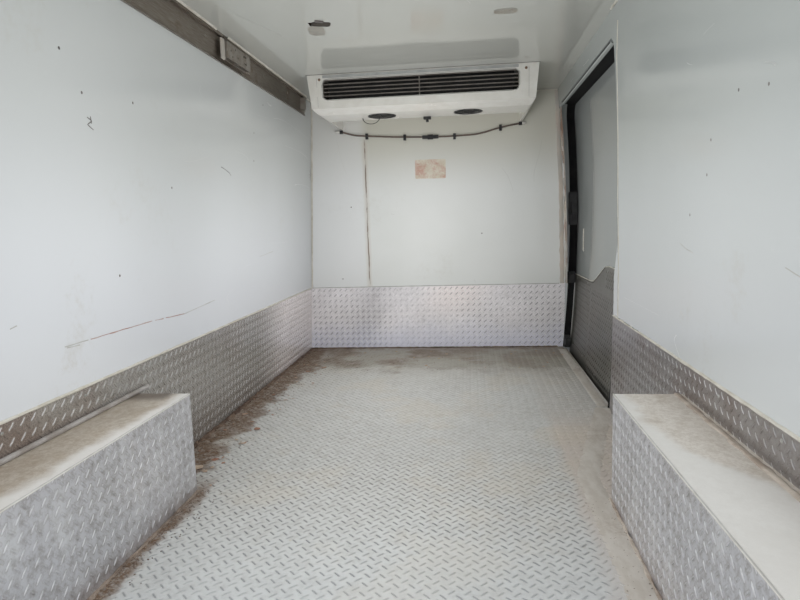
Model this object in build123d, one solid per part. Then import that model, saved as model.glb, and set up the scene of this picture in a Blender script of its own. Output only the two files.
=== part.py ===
"""Refrigerated van load compartment, in millimetres.

The insulated body section of a panel van behind its cab: floor, side walls, roof
and bulkhead as thick as the whole wall, a closed sliding door on the right, two
hinged rear doors standing open, wheel boxes, tread-plate linings and a ceiling
evaporator. +Y points to the cab, +X to the right and +Z up. The origin is at the
middle of the underframe's underside.
"""
import math
import os

from build123d import *

# Load space, between the linings
INSIDE_LENGTH = 3450.0
INSIDE_HEIGHT = 1584.0
LEFT_FOOT = 825.0        # left lining from the middle, at the floor
LEFT_LEAN = 75.0         # how far it leans in at the ceiling
FOOT_OFFSET = 10.0       # right lining's foot, nearer the middle than the left one's
BELLY_OFFSET = 3.0
HEAD_OFFSET = 49.0
RIGHT_BELLY_Z = 650.0

# Walls and outer skin
SIDE_WALL = 185.0        # left lining's foot to the skin's widest line
WAIST_Z = 700.0
SILL_Z = 40.0
SILL_TUCK = 25.0         # each tuck is measured in from the widest line
GUTTER_TUCK = 82.0
SHOULDER_DROP = 74.0     # gutter below the ceiling
SHOULDER_RUN = 148.0
SHOULDER_BULGE = 36.0
ROOF_THICKNESS = 116.0   # at the crown
ROOF_EDGE_DROP = 28.0
SILL_BEAM = 100.0        # sill beam's width under the floor
BULKHEAD = 65.0
BULKHEAD_SEAM_X = -418.0
REAR_FRAME_DEPTH = 90.0
PRESSING_DEPTH = 8.0
PRESSING_LOW = 820.0     # above the floor
PRESSING_DROP = 174.0    # below the ceiling
PRESSING_CORNER = 60.0
PRESSING_MARGIN = 110.0
SWAGE_WIDTH = 44.0
SWAGE_DEPTH = 7.0
SWAGE_PITCH = 280.0
SWAGE_END = 140.0
STRIP_LOW = 370.0        # side moulding above the floor
STRIP_HEIGHT = 90.0
STRIP_PROUD = 12.0

# Underframe and floor
RAIL_HEIGHT = 120.0
RAIL_WIDTH = 70.0
RAIL_X = 415.0           # web of a rail from the middle
RAIL_WALL = 6.0
CROSS_DEPTH = 60.0
CROSS_HEIGHT = 90.0
CROSS_COUNT = 7
ARM_HEIGHT = 60.0
FIXING_INSET = 40.0      # bolt holes from the rail's web
FIXING_Y = 1200.0
FIXING_RADIUS = 7.0
FLOOR_BOARD = 64.0
FLOOR_PLATE = 6.0
FLOOR_JOINT = 4.0        # sealed joint round the tread plate
FLOOR_LIP = 10.0         # overhang at the side doorway
SHEET = 3.0              # tread plate on the walls

# Kick plates and wheel boxes
KICK_HEIGHT = 403.0
BOX_WIDTH = 195.0        # at the floor, from the left lining
BOX_HEIGHT = 314.0
BOX_LENGTH = 1000.0
BOX_TAIL = 272.0         # wheel box to the load space's rear end
BOX_WALL = 54.0
TUB_RADIUS = 430.0
TUB_WALL = 4.0
AXLE_Z = 10.0
ARCH_WIDTH = 34.0
ARCH_PROUD = 18.0
BAR_RADIUS = 7.0         # capping bar along the left wheel box
BAR_OVERHANG = 60.0

# Side doorway, measured back from the bulkhead's inner face and up from the floor
DOOR_HEADER = 94.0       # doorway's top below the ceiling
DOOR_CORNER = 100.0
DOOR_WELL = 56.0         # how far the step lies under the floor
DOOR_REAR_FOOT = 1300.0
DOOR_REAR_LOW = 1318.0
DOOR_REAR_HIGH = 1400.0
DOOR_REAR_TOP = 1432.0
DOOR_STEP_LOW = 570.0    # heights of the swept step in the rear edge
DOOR_STEP_HIGH = 745.0
DOOR_STEP_RADIUS = 90.0
DOOR_THICKNESS = 114.0   # at the lining's fullest height
DOOR_BOW = 8350.0        # radius of the lining's curve, and its middle's height
DOOR_BOW_Z = 820.0
DOOR_SKIRT = 85.0        # leaf's thickness below the step
DOOR_REBATE = 22.0       # leaf's overlap on the frame
DOOR_GAP = 5.0
DOOR_SKIRT_Z = 62.0
SEAL_WIDTH = 45.0
SEAL_THICKNESS = 14.0
SEAL_SEAT = 0.3          # over the floor, and beside the bulkhead's kick plate
DOOR_KICK_LOW = 462.0
DOOR_KICK_HIGH = 574.0
DOOR_KICK_BEND = (560.0, 850.0)
LOCK_SPAN = (766.0, 967.0)
LOCK_WIDTH = 50.0
CATCH_WIDTH = 58.0
CATCH_SPANS = ((408.0, 478.0), (1.0, 77.0))
CATCH_PROUD = 24.0
RAIL_SLOT_LOW = 830.0    # outer slide rail above the floor
RAIL_SLOT_HEIGHT = 38.0
HANDLE_LENGTH = 190.0
HANDLE_HEIGHT = 34.0
HANDLE_PROUD = 26.0

# Rear doors
JAMB = 205.0             # hinge pin to the doorway's side
REAR_HEADER = 44.0       # doorway's top below the ceiling
REAR_CORNER = 60.0
LEAF = 50.0
LEAF_STANDOFF = 18.0
LEAF_FOOT = 18.0         # leaf's foot under the floor
LEAF_HEAD = 22.0         # leaf's head under the ceiling
LEAF_INSET = 24.0
LEAF_MIDDLE_GAP = 4.5
PLUG_DEPTH = 84.0
PLUG_GAP = 14.0
PLUG_TAPER = 4.0
REST_ANGLE = 90.0
HINGE_MARGIN = 230.0     # hinges from the doorway's foot and head
PIN_RADIUS = 6.0
KNUCKLE_RADIUS = 11.0
KNUCKLE_LENGTH = 34.0
KNUCKLE_GAP = 2.0
PIN_CLEARANCE = 0.3
HINGE_INSET = 85.0       # pin from the skin's widest line
LEAF_PIN_GAP = 14.0      # leaf's straight edge from the pin
STRAP = 8.0
STRAP_LENGTH = 230.0
STRAP_HEIGHT = 44.0
PLUG_SEAL_GAP = 6.0
ROD = 16.0
BUMPER_DEPTH = 150.0
BUMPER_TOP = 150.0
BUMPER_WALL = 22.0
LAMP_SPAN = (290.0, 670.0)
LAMP_DEPTH = 26.0

# Evaporator
EVAP_HALF = 592.0
EVAP_TAPER = 18.0        # each end, from the ceiling to the belly
EVAP_DEPTH = 700.0
EVAP_HEIGHT = 184.0
EVAP_CORNER = 24.0
EVAP_WALL = 6.0
EVAP_LIP = 168.0         # foot of the upright face, below the ceiling
EVAP_SLOPE = 130.0       # where the belly starts to lie flat, behind the face
EVAP_PANEL = 345.0       # how far the belly reaches behind the face
EVAP_RECESS = 76.0       # height of the open space behind the belly
EVAP_FLANK = 25.0
EVAP_LEAN = 14.0
GRILLE_LEFT = 512.0
GRILLE_RIGHT = 492.0
GRILLE_TOP = 27.0        # below the ceiling
GRILLE_HEIGHT = 98.0
GRILLE_CORNER = 16.0
GRILLE_SEAT = 0.3        # grille's frame behind the wall at the mouth's foot
GRILLE_DEPTH = 14.0
SLAT_COUNT = 4
SLAT = 4.0
FAN_X = 236.0
FAN_FROM_FACE = 228.0
FAN_RADIUS = 66.0
FAN_HOLE = 72.0
GUARD_WIRE = 3.0
HUB_RADIUS = 26.0
HUB_HEIGHT = 24.0
BLADE_COUNT = 5
BLADE_WIDTH = 44.0
BLADE_PITCH = 30.0
ROTOR_RISE = 26.0        # rotor's middle over the belly
MOTOR_RADIUS = 38.0
COIL_DEPTH = 80.0
COIL_SET = 60.0
COIL_MARGIN = 20.0
PLUG_SIZE = 28.0         # cable plug under the belly's rear edge

# Drain hose and wall track
HOSE_RADIUS = 5.0
HOSE_OFF_WALL = 9.0
HOSE_FIT = 0.2
CLIP_WIDTH = 16.0
TEE_LENGTH = 100.0
TRACK_HEIGHT = 108.0
TRACK_DEPTH = 16.0
TRACK_WALL = 3.0
TRACK_LIP = 12.0
TRACK_FRONT = 170.0      # its front end behind the bulkhead
TRACK_JOINT = 1440.0     # where its two lengths meet
TRACK_JOINT_GAP = 8.0
BRACKET_HEIGHT = 64.0
BRACKET_OFF_WALL = 26.0
BRACKET_SHEET = 4.0

# Places that follow from the sizes above
LEFT_HEAD = LEFT_FOOT - LEFT_LEAN
RIGHT_FOOT = LEFT_FOOT - FOOT_OFFSET
RIGHT_BELLY = LEFT_FOOT - BELLY_OFFSET
RIGHT_HEAD = LEFT_FOOT - HEAD_OFFSET
DOOR_TOP = INSIDE_HEIGHT - DOOR_HEADER
REAR_TOP = INSIDE_HEIGHT - REAR_HEADER
PRESSING_HIGH = INSIDE_HEIGHT - PRESSING_DROP
HINGE_HEIGHTS = (HINGE_MARGIN, REAR_TOP - HINGE_MARGIN)
WAIST_HALF = LEFT_FOOT + SIDE_WALL
SILL_HALF = WAIST_HALF - SILL_TUCK
GUTTER_HALF = WAIST_HALF - GUTTER_TUCK
SHOULDER_HALF = GUTTER_HALF - SHOULDER_RUN
BOX_HALF = LEFT_FOOT - BOX_WIDTH
TUB_INNER_HALF = BOX_HALF + BOX_WALL
DOOR_LINING_X = WAIST_HALF - DOOR_THICKNESS
PLATE_Z = RAIL_HEIGHT + FLOOR_BOARD
FLOOR_Z = PLATE_Z + FLOOR_PLATE
CEILING_Z = FLOOR_Z + INSIDE_HEIGHT
CROWN_Z = CEILING_Z + ROOF_THICKNESS
STEP_Z = FLOOR_Z - DOOR_WELL
FRONT_Y = INSIDE_LENGTH / 2
REAR_Y = -INSIDE_LENGTH / 2
NOSE_Y = FRONT_Y + BULKHEAD
TAIL_Y = REAR_Y - REAR_FRAME_DEPTH
BOX_REAR_Y = REAR_Y + BOX_TAIL
BOX_FRONT_Y = BOX_REAR_Y + BOX_LENGTH
AXLE_Y = (BOX_FRONT_Y + BOX_REAR_Y) / 2
LEAF_FRONT_Y = TAIL_Y - LEAF_STANDOFF
LEAF_BACK_Y = LEAF_FRONT_Y - LEAF
HINGE_X = WAIST_HALF - HINGE_INSET
HINGE_Y = LEAF_BACK_Y - STRAP
LEAF_EDGE_X = HINGE_X - LEAF_PIN_GAP
REAR_HALF = HINGE_X - JAMB
EVAP_FACE_Y = FRONT_Y - EVAP_DEPTH
BELLY_Z = CEILING_Z - EVAP_HEIGHT
BELLY_REAR_Y = EVAP_FACE_Y + EVAP_PANEL
EVAP_INNER_HALF = EVAP_HALF - EVAP_TAPER - EVAP_FLANK
GRILLE_FOOT = GRILLE_TOP + GRILLE_HEIGHT + EVAP_WALL
GRILLE_Y = EVAP_FACE_Y + EVAP_WALL + EVAP_LEAN * GRILLE_FOOT / EVAP_LIP + GRILLE_SEAT
FAN_Y = EVAP_FACE_Y + FAN_FROM_FACE
HOSE_Y = FRONT_Y - HOSE_OFF_WALL
FAR = 3 * INSIDE_LENGTH  # past every part of the body


def at_y(y):
    """Returns the upright plane across the body at y, drawn in x and z."""
    return Plane((0, y, 0), x_dir=(1, 0, 0), z_dir=(0, -1, 0))


def at_x(x):
    """Returns the upright plane along the body at x, drawn in y and z."""
    return Plane((x, 0, 0), x_dir=(0, 1, 0), z_dir=(1, 0, 0))


def run(section, y_from, y_to):
    """Carries a section drawn in x and z from one y to another."""
    return extrude(at_y(y_from) * section, y_to - y_from, dir=(0, 1, 0))


def across(outline, x_from, x_to):
    """Carries an outline drawn in y and z from one x to another."""
    return extrude(at_x(x_from) * outline, x_to - x_from, dir=(1, 0, 0))


def block(x_span, y_span, z_span):
    """Makes a box from its low and high values on each axis."""
    low = (x_span[0], y_span[0], z_span[0])
    size = (x_span[1] - x_span[0], y_span[1] - y_span[0], z_span[1] - z_span[0])
    return Pos(*low) * Box(*size, align=(Align.MIN, Align.MIN, Align.MIN))


def pane(u_span, v_span, radius=0.0):
    """Makes a flat rectangle from its low and high values, with round corners."""
    width, height = u_span[1] - u_span[0], v_span[1] - v_span[0]
    middle = Pos((u_span[0] + u_span[1]) / 2, (v_span[0] + v_span[1]) / 2)
    flat = RectangleRounded(width, height, radius) if radius else Rectangle(width, height)
    return middle * flat


def half_plane(side):
    """Everything on one side of the middle, in section: side is -1 or 1."""
    return pane((0, FAR), (-FAR, FAR)) if side > 0 else pane((-FAR, 0), (-FAR, FAR))


def group(solids):
    """Puts like solids that don't touch in one node."""
    return Compound(children=[Part(s.wrapped) for s in solids])


def outer_section():
    """The body's outside, across: sill, tumblehome, shoulder and crowned roof."""
    gutter_z = CEILING_Z - SHOULDER_DROP
    edge_z = CROWN_Z - ROOF_EDGE_DROP
    side = ThreePointArc((SILL_HALF, SILL_Z), (WAIST_HALF, WAIST_Z), (GUTTER_HALF, gutter_z))
    shoulder_x = (GUTTER_HALF + SHOULDER_HALF) / 2 + SHOULDER_BULGE
    shoulder_z = (gutter_z + edge_z) / 2 + SHOULDER_BULGE
    shoulder = ThreePointArc((GUTTER_HALF, gutter_z), (shoulder_x, shoulder_z), (SHOULDER_HALF, edge_z))
    crown = ThreePointArc((SHOULDER_HALF, edge_z), (0, CROWN_Z), (-SHOULDER_HALF, edge_z))
    foot = Line((-SILL_HALF, SILL_Z), (SILL_HALF, SILL_Z))
    edges = [side, shoulder, crown, foot, mirror(side, Plane.YZ), mirror(shoulder, Plane.YZ)]
    return make_face([e for wire in edges for e in wire.edges()])


def inside_section(z_from, z_to):
    """The load space across, between two heights: flat left lining, curved right."""
    lean = LEFT_LEAN / INSIDE_HEIGHT
    left_low = (-LEFT_FOOT - lean * (FLOOR_Z - SILL_Z), SILL_Z)
    right = ThreePointArc((RIGHT_FOOT, FLOOR_Z), (RIGHT_BELLY, FLOOR_Z + RIGHT_BELLY_Z),
                          (RIGHT_HEAD, CEILING_Z))
    ring = Polyline((RIGHT_HEAD, CEILING_Z), (-LEFT_HEAD, CEILING_Z), left_low,
                    (RIGHT_FOOT, SILL_Z), (RIGHT_FOOT, FLOOR_Z))
    return make_face([*right.edges(), *ring.edges()]) & pane((-FAR, FAR), (z_from, z_to))


def skin_band(proud, sunk, z_from=-FAR, z_to=FAR):
    """A band that follows the outer skin, from sunk below it to proud of it."""
    whole = outer_section()
    outside = offset(whole, proud) if proud else whole
    inside = offset(whole, -sunk) if sunk else whole
    return (outside - inside) & pane((-FAR, FAR), (z_from, z_to))


def wheel_space(radius, x_from, x_to):
    """The round space about an axle end, from one x to another."""
    drum = Plane((x_from, AXLE_Y, AXLE_Z), x_dir=(0, 1, 0), z_dir=(1, 0, 0)) * Circle(radius)
    return extrude(drum, x_to - x_from, dir=(1, 0, 0))


def wheel_wells():
    """Both round spaces that the tubs fill, on the left and on the right."""
    reach = TUB_INNER_HALF - TUB_WALL
    return wheel_space(TUB_RADIUS, reach, FAR) + wheel_space(TUB_RADIUS, -FAR, -reach)


def door_outline(grow=0.0, foot_z=STEP_Z):
    """The side doorway in y and z: rounded front corner and swept step behind."""
    front = FRONT_Y + grow
    top = FLOOR_Z + DOOR_TOP + grow
    # y, z, corner radius
    corners = (
        (front, foot_z, 0.0),
        (front, top, DOOR_CORNER),
        (FRONT_Y - DOOR_REAR_TOP - grow, top, DOOR_CORNER / 2),
        (FRONT_Y - DOOR_REAR_HIGH - grow, FLOOR_Z + DOOR_STEP_HIGH, DOOR_STEP_RADIUS),
        (FRONT_Y - DOOR_REAR_LOW - grow, FLOOR_Z + DOOR_STEP_LOW, DOOR_STEP_RADIUS),
        (FRONT_Y - DOOR_REAR_FOOT - grow, foot_z, 0.0),
    )
    route = FilletPolyline(*[c[:2] for c in corners], radius=[c[2] for c in corners[1:-1]])
    base = Line(corners[-1][:2], corners[0][:2])
    return make_face([*route.edges(), *base.edges()])


def door_space(inset=0.0):
    """Everything inboard of the side door's bowed lining, in section."""
    disc = Pos(DOOR_LINING_X - DOOR_BOW, FLOOR_Z + DOOR_BOW_Z) * Circle(DOOR_BOW - inset)
    return (disc & half_plane(1)) + pane((0, WAIST_HALF - DOOR_SKIRT), (-FAR, STEP_Z))


def door_lining_x(z):
    """Where the side door's lining is at a height."""
    rise = z - FLOOR_Z - DOOR_BOW_Z
    return DOOR_LINING_X - DOOR_BOW + math.sqrt(DOOR_BOW ** 2 - rise ** 2)


def door_cutter():
    """What is cut from the right side for the doorway and the leaf's rebate."""
    inboard = run(door_space(), REAR_Y, NOSE_Y)
    inner = across(door_outline(), 0, FAR) & inboard
    return inner + (across(door_outline(DOOR_REBATE, DOOR_SKIRT_Z), 0, FAR) - inboard)


def pressing(y_from, y_to, side):
    """A shallow panel pressed into the skin between two y values."""
    layer = run(skin_band(0, PRESSING_DEPTH) & half_plane(side), REAR_Y, NOSE_Y)
    shape = pane((y_from, y_to), (FLOOR_Z + PRESSING_LOW, FLOOR_Z + PRESSING_HIGH), PRESSING_CORNER)
    return layer & across(shape, -FAR, FAR)


def left_wall_x(z):
    """Where the left lining's face is at a height."""
    return -LEFT_HEAD - LEFT_LEAN / INSIDE_HEIGHT * (CEILING_Z - z)


def side_section():
    """Both side walls in section: skin to lining, with a sill beam under the floor."""
    walls = outer_section() - inside_section(SILL_Z, CEILING_Z)
    walls &= pane((-FAR, FAR), (SILL_Z, CEILING_Z))
    beam_x = SILL_HALF - SILL_BEAM
    return walls - pane((-beam_x, beam_x), (0, RAIL_HEIGHT))


def side_wall(side):
    """One whole side wall, before its doorway: side is -1 or 1."""
    wall = run(side_section() & half_plane(side), REAR_Y, NOSE_Y) - wheel_wells()
    split_y = FRONT_Y - DOOR_REAR_TOP
    wall -= pressing(REAR_Y + PRESSING_MARGIN, split_y - PRESSING_MARGIN, side)
    if side < 0:
        wall -= pressing(split_y + PRESSING_MARGIN / 2, NOSE_Y - PRESSING_MARGIN, side)
    return wall


def right_pieces():
    """The right side where its panels meet: rear panel, sill, header and front pillar."""
    wall = side_wall(1) - door_cutter()
    wall -= run(skin_band(1, DOOR_GAP, *slot_heights()), *slot_reach())
    head_z = FLOOR_Z + DOOR_TOP
    head_y = (FRONT_Y - DOOR_REAR_TOP, FRONT_Y - DOOR_CORNER)
    sill_y = FRONT_Y - DOOR_REAR_FOOT + DOOR_CORNER / 2
    upper = (head_z - DOOR_CORNER / 2, FAR)
    lower = (0, head_z - DOOR_CORNER / 2)
    rear = wall & block((0, FAR), (REAR_Y, head_y[0]), (0, FAR))
    rear += wall & block((0, FAR), (head_y[0], sill_y), lower)
    sill = wall & block((0, FAR), (sill_y, FRONT_Y), (0, STEP_Z + 1))
    header = wall & block((0, FAR), head_y, upper)
    pillar = wall & block((0, FAR), (head_y[1], NOSE_Y), (head_z - DOOR_CORNER - 1, FAR))
    pillar += wall & block((0, FAR), (FRONT_Y, NOSE_Y), (0, FAR))
    return rear, sill, header, pillar


def roof():
    """Crowned roof skin with swages, down to a flat ceiling with two lamp holes."""
    section = outer_section() & pane((-FAR, FAR), (CEILING_Z, FAR))
    slab = run(section, TAIL_Y, NOSE_Y)
    for i in range(-2, 3):
        x = i * SWAGE_PITCH
        strip = pane((x - SWAGE_WIDTH / 2, x + SWAGE_WIDTH / 2), (CEILING_Z, FAR))
        slab -= run(skin_band(0, SWAGE_DEPTH) & strip, REAR_Y + SWAGE_END, NOSE_Y - SWAGE_END)
    # x, distance behind the bulkhead, width and length of the old lamp holes
    holes = ((-338, 1492, 66, 46), (376, 1500, 72, 26))
    for x, back, width, length in holes:
        slab -= Pos(x, FRONT_Y - back, CEILING_Z) * Box(width, length, ROOF_THICKNESS / 2)
    return slab


def bulkhead(x_from, x_to):
    """A bulkhead panel between two x values, floor pan to ceiling."""
    section = inside_section(RAIL_HEIGHT, CEILING_Z) & pane((x_from, x_to), (0, FAR))
    return run(section, FRONT_Y, NOSE_Y)


def channel(width, height, wall):
    """A channel in section, open to +x, with its web on the z axis's line."""
    return pane((0, width), (0, height)) - pane((wall, width + 1), (wall, height - wall))


def chassis_rails():
    """Two channel rails, with the bolt holes of the body fixings."""
    rail = run(Pos(RAIL_X, 0) * channel(RAIL_WIDTH, RAIL_HEIGHT, RAIL_WALL), TAIL_Y, NOSE_Y)
    for y in (-FIXING_Y, FIXING_Y):
        rail -= Pos(RAIL_X + FIXING_INSET, y, RAIL_WALL / 2) * Cylinder(FIXING_RADIUS, 2 * RAIL_WALL)
    return group([rail, mirror(rail, Plane.YZ)])


def cross_places():
    """The middles of the cross members along y."""
    pitch = (NOSE_Y - TAIL_Y - 2 * CROSS_DEPTH) / (CROSS_COUNT - 1)
    return [TAIL_Y + CROSS_DEPTH + i * pitch for i in range(CROSS_COUNT)]


def hat(x_span, y, height):
    """A channel member across the body, open below, hung from the floor."""
    span = (y - CROSS_DEPTH / 2, y + CROSS_DEPTH / 2)
    hollow = (span[0] + RAIL_WALL, span[1] - RAIL_WALL)
    member = block(x_span, span, (RAIL_HEIGHT - height, RAIL_HEIGHT))
    return member - block(x_span, hollow, (0, RAIL_HEIGHT - RAIL_WALL))


def cross_members():
    """Cross channels between the rails, and a jacking channel at the middle."""
    members = [hat((-RAIL_X, RAIL_X), y, CROSS_HEIGHT) for y in cross_places()]
    jack = block((-RAIL_X, RAIL_X), (-CROSS_DEPTH / 2, CROSS_DEPTH / 2), (0, RAIL_WALL))
    middle = members[CROSS_COUNT // 2]
    web = block((-RAIL_X, RAIL_X), (-CROSS_DEPTH / 2, -CROSS_DEPTH / 2 + RAIL_WALL), (0, RAIL_HEIGHT))
    shift = Pos(0, cross_places()[CROSS_COUNT // 2], 0)
    members[CROSS_COUNT // 2] = middle + shift * jack + shift * web
    return group(members)


def outriggers():
    """Arms from the rails out to the sill beams, clear of the wheel wells."""
    arms = []
    inner, tip = RAIL_X + RAIL_WIDTH, SILL_HALF - SILL_BEAM
    for y in cross_places():
        if abs(y - AXLE_Y) < TUB_RADIUS + CROSS_DEPTH:
            continue
        arm = hat((inner, tip), y, ARM_HEIGHT)
        arms += [arm, mirror(arm, Plane.YZ)]
    return group(arms)


def floor_board():
    """Insulated floor slab, notched for the wheel tubs."""
    return run(inside_section(RAIL_HEIGHT, PLATE_Z), REAR_Y, FRONT_Y) - wheel_wells()


def floor_plate():
    """Tread plate laid over the slab, between the kick plates and the wheel boxes."""
    inset = SHEET + FLOOR_JOINT
    space = inside_section(PLATE_Z, FLOOR_Z)
    section = space & (Pos(inset, 0) * space) & (Pos(-inset, 0) * space)
    plate = run(section, REAR_Y, FRONT_Y - inset)
    seal = SEAL_THICKNESS + FLOOR_JOINT
    lip_y = (FRONT_Y - DOOR_REAR_FOOT + seal, FRONT_Y - seal - 2 * CATCH_PROUD)
    plate += block((0, RIGHT_FOOT + FLOOR_LIP), lip_y, (PLATE_Z, FLOOR_Z))
    box_y = (BOX_REAR_Y - FLOOR_JOINT, BOX_FRONT_Y + FLOOR_JOINT)
    notch = block((BOX_HALF - FLOOR_JOINT, FAR), box_y, (0, FAR))
    return plate - notch - mirror(notch, Plane.YZ)


def wall_strip(side, z_from, z_to, depth):
    """A strip that follows one lining, in section: side is -1 or 1."""
    space = inside_section(z_from, z_to)
    return space - Pos(-side * depth, 0) * space


def kick_plate(side):
    """Tread plate along one wall, from the floor up."""
    front = FRONT_Y if side < 0 else FRONT_Y - DOOR_REAR_LOW
    strip = wall_strip(side, PLATE_Z, FLOOR_Z + KICK_HEIGHT, SHEET)
    return run(strip, REAR_Y, front) - wheel_wells()


def kick_bulkhead():
    """Tread plate across the bulkhead, from the left plate to the doorway."""
    section = inside_section(PLATE_Z, FLOOR_Z + KICK_HEIGHT)
    section &= Pos(SHEET, 0) * section
    section = (section & half_plane(-1)) + (section & door_space(SEAL_WIDTH + SEAL_SEAT))
    return run(section, FRONT_Y - SHEET, FRONT_Y)


def wheel_box(side):
    """Insulated box over a wheel tub, against the kick plate."""
    space = inside_section(PLATE_Z, FLOOR_Z + BOX_HEIGHT)
    space &= Pos(-side * SHEET, 0) * space
    space -= pane((-BOX_HALF, BOX_HALF), (0, FAR))
    return run(space & half_plane(side), BOX_REAR_Y, BOX_FRONT_Y) - wheel_wells()


def wall_bar():
    """Capping bar on top of the left wheel box, along the wall."""
    z = FLOOR_Z + BOX_HEIGHT + BAR_RADIUS
    x = left_wall_x(z + BAR_RADIUS) + SHEET + BAR_RADIUS
    return run(Pos(x, z) * Circle(BAR_RADIUS), BOX_REAR_Y, BOX_FRONT_Y + BAR_OVERHANG)


def wheel_tub(side):
    """Steel inner arch: a round shell closed on its inner side."""
    shell = wheel_space(TUB_RADIUS - 0.3, TUB_INNER_HALF - TUB_WALL, FAR)
    shell -= wheel_space(TUB_RADIUS - TUB_WALL, TUB_INNER_HALF, FAR + 1)
    shell &= run(outer_section(), REAR_Y, FRONT_Y)
    return shell if side > 0 else mirror(shell, Plane.YZ)


def arch_lips():
    """Mouldings round both wheel arches on the outer skin."""
    ring = wheel_space(TUB_RADIUS + ARCH_WIDTH, 0, FAR) - wheel_space(TUB_RADIUS - TUB_WALL, 0, FAR + 1)
    band = run(skin_band(ARCH_PROUD, 0, SILL_Z + 2) & half_plane(1), REAR_Y, FRONT_Y)
    lip = ring & band
    return [lip, mirror(lip, Plane.YZ)]


def side_door():
    """Sliding door leaf, skin to lining, sitting in its rebate."""
    outline = door_outline(DOOR_REBATE - DOOR_GAP, DOOR_SKIRT_Z + DOOR_GAP)
    section = (outer_section() & half_plane(1)) - door_space()
    leaf = across(outline, 0, FAR) & run(section, REAR_Y, NOSE_Y)
    return leaf - pressing(FRONT_Y - DOOR_REAR_TOP + PRESSING_MARGIN, FRONT_Y - PRESSING_MARGIN, 1)


def door_kick():
    """Tread plate on the door's lining, with a swept top edge."""
    inset = SEAL_THICKNESS + SHEET
    foot = STEP_Z + SHEET + 2
    low, high = FLOOR_Z + DOOR_KICK_LOW, FLOOR_Z + DOOR_KICK_HIGH
    near, far = FRONT_Y - DOOR_KICK_BEND[0], FRONT_Y - DOOR_KICK_BEND[1]
    rear = FRONT_Y - DOOR_REAR_FOOT + inset
    route = FilletPolyline((FRONT_Y - inset, foot), (FRONT_Y - inset, low), (near, low), (far, high),
                           (rear - SHEET, high), (rear, foot),
                           radius=[SHEET, DOOR_CORNER, DOOR_CORNER, SHEET])
    base = Line(route @ 1, route @ 0)
    outline = make_face([*route.edges(), *base.edges()])
    return across(outline, 0, FAR) & run(door_space() - door_space(SHEET), REAR_Y, NOSE_Y)


def door_seal():
    """Rubber seal round the front, top and back of the doorway."""
    outline = door_outline()
    ring = outline - offset(outline, -SEAL_THICKNESS)
    ring &= pane((-FAR, FAR), (FLOOR_Z + SEAL_SEAT, FAR))
    seal = across(ring, 0, FAR) & run(door_space() - door_space(SEAL_WIDTH), REAR_Y, NOSE_Y)
    top_z = FLOOR_Z + DOOR_TOP
    head_y = (FRONT_Y - DOOR_REAR_TOP + DOOR_CORNER, FRONT_Y - DOOR_CORNER)
    head_x = (RIGHT_HEAD + SEAL_THICKNESS, door_lining_x(top_z) - SEAL_WIDTH + 1)
    return seal + block(head_x, head_y, (top_z - SEAL_THICKNESS, top_z))


def door_well():
    """Step plate on the sill in the doorway, under the floor's edge."""
    y_span = (FRONT_Y - DOOR_REAR_FOOT, FRONT_Y)
    plate = block((RIGHT_FOOT, DOOR_LINING_X), y_span, (STEP_Z, STEP_Z + SHEET))
    return plate & run(door_space(), REAR_Y, NOSE_Y)


def door_catch(span, width, tongue_share):
    """A fitting on the seal at the doorway's front: a rounded body and its tongue."""
    z_span = (FLOOR_Z + span[0], FLOOR_Z + span[1])
    right = min(door_lining_x(z) for z in z_span) - SHEET - 1
    left = max(right - width, RIGHT_FOOT)
    middle_x, middle_z = (left + right) / 2, sum(z_span) / 2
    back = FRONT_Y - SEAL_THICKNESS
    body = run(pane((left, right), z_span, CATCH_PROUD / 3), back - CATCH_PROUD, back)
    tongue = Pos(middle_x, middle_z) * Rectangle(width / 2, (span[1] - span[0]) * tongue_share)
    return body + run(tongue, back - 2 * CATCH_PROUD, back - CATCH_PROUD)


def door_catches():
    """Lock cover, and guide catches above the step and at the floor."""
    lock = door_catch(LOCK_SPAN, LOCK_WIDTH, 1 / 3)
    return group([lock] + [door_catch(span, CATCH_WIDTH, 1 / 2) for span in CATCH_SPANS])


def slot_heights():
    """Heights of the outer slide rail's slot."""
    middle = FLOOR_Z + RAIL_SLOT_LOW - RAIL_SLOT_HEIGHT
    return middle - RAIL_SLOT_HEIGHT / 2, middle + RAIL_SLOT_HEIGHT / 2


def slot_reach():
    """Where the slot starts and ends along the right side."""
    return REAR_Y + PRESSING_MARGIN, FRONT_Y - DOOR_REAR_TOP - DOOR_REBATE - DOOR_GAP


def door_rail():
    """Slide rail of the side door, in its slot in the outer skin."""
    rail = skin_band(0, DOOR_GAP, *slot_heights())
    groove_z = sum(slot_heights()) / 2
    groove = pane((0, FAR), (groove_z - RAIL_SLOT_HEIGHT / 5, groove_z + RAIL_SLOT_HEIGHT / 5))
    return run((rail & half_plane(1)) - (skin_band(1, DOOR_GAP / 2) & groove), *slot_reach())


def door_grip():
    """Outer pull handle of the side door, near its front edge."""
    y_mid = FRONT_Y - PRESSING_MARGIN / 2 - HANDLE_LENGTH / 2
    z_mid = FLOOR_Z + PRESSING_LOW - HANDLE_HEIGHT * 2
    plate = pane((y_mid - HANDLE_LENGTH / 2, y_mid + HANDLE_LENGTH / 2),
                 (z_mid - HANDLE_HEIGHT, z_mid + HANDLE_HEIGHT), HANDLE_HEIGHT / 3)
    grip = pane((y_mid - HANDLE_LENGTH / 2, y_mid + HANDLE_LENGTH / 2),
                (z_mid - HANDLE_HEIGHT / 3, z_mid + HANDLE_HEIGHT / 3), HANDLE_HEIGHT / 4)
    base = run(skin_band(HANDLE_PROUD / 4, 0) & half_plane(1), REAR_Y, FRONT_Y) & across(plate, 0, FAR)
    bar = run(skin_band(HANDLE_PROUD, 0) & half_plane(1), REAR_Y, FRONT_Y) & across(grip, 0, FAR)
    return base + bar


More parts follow.
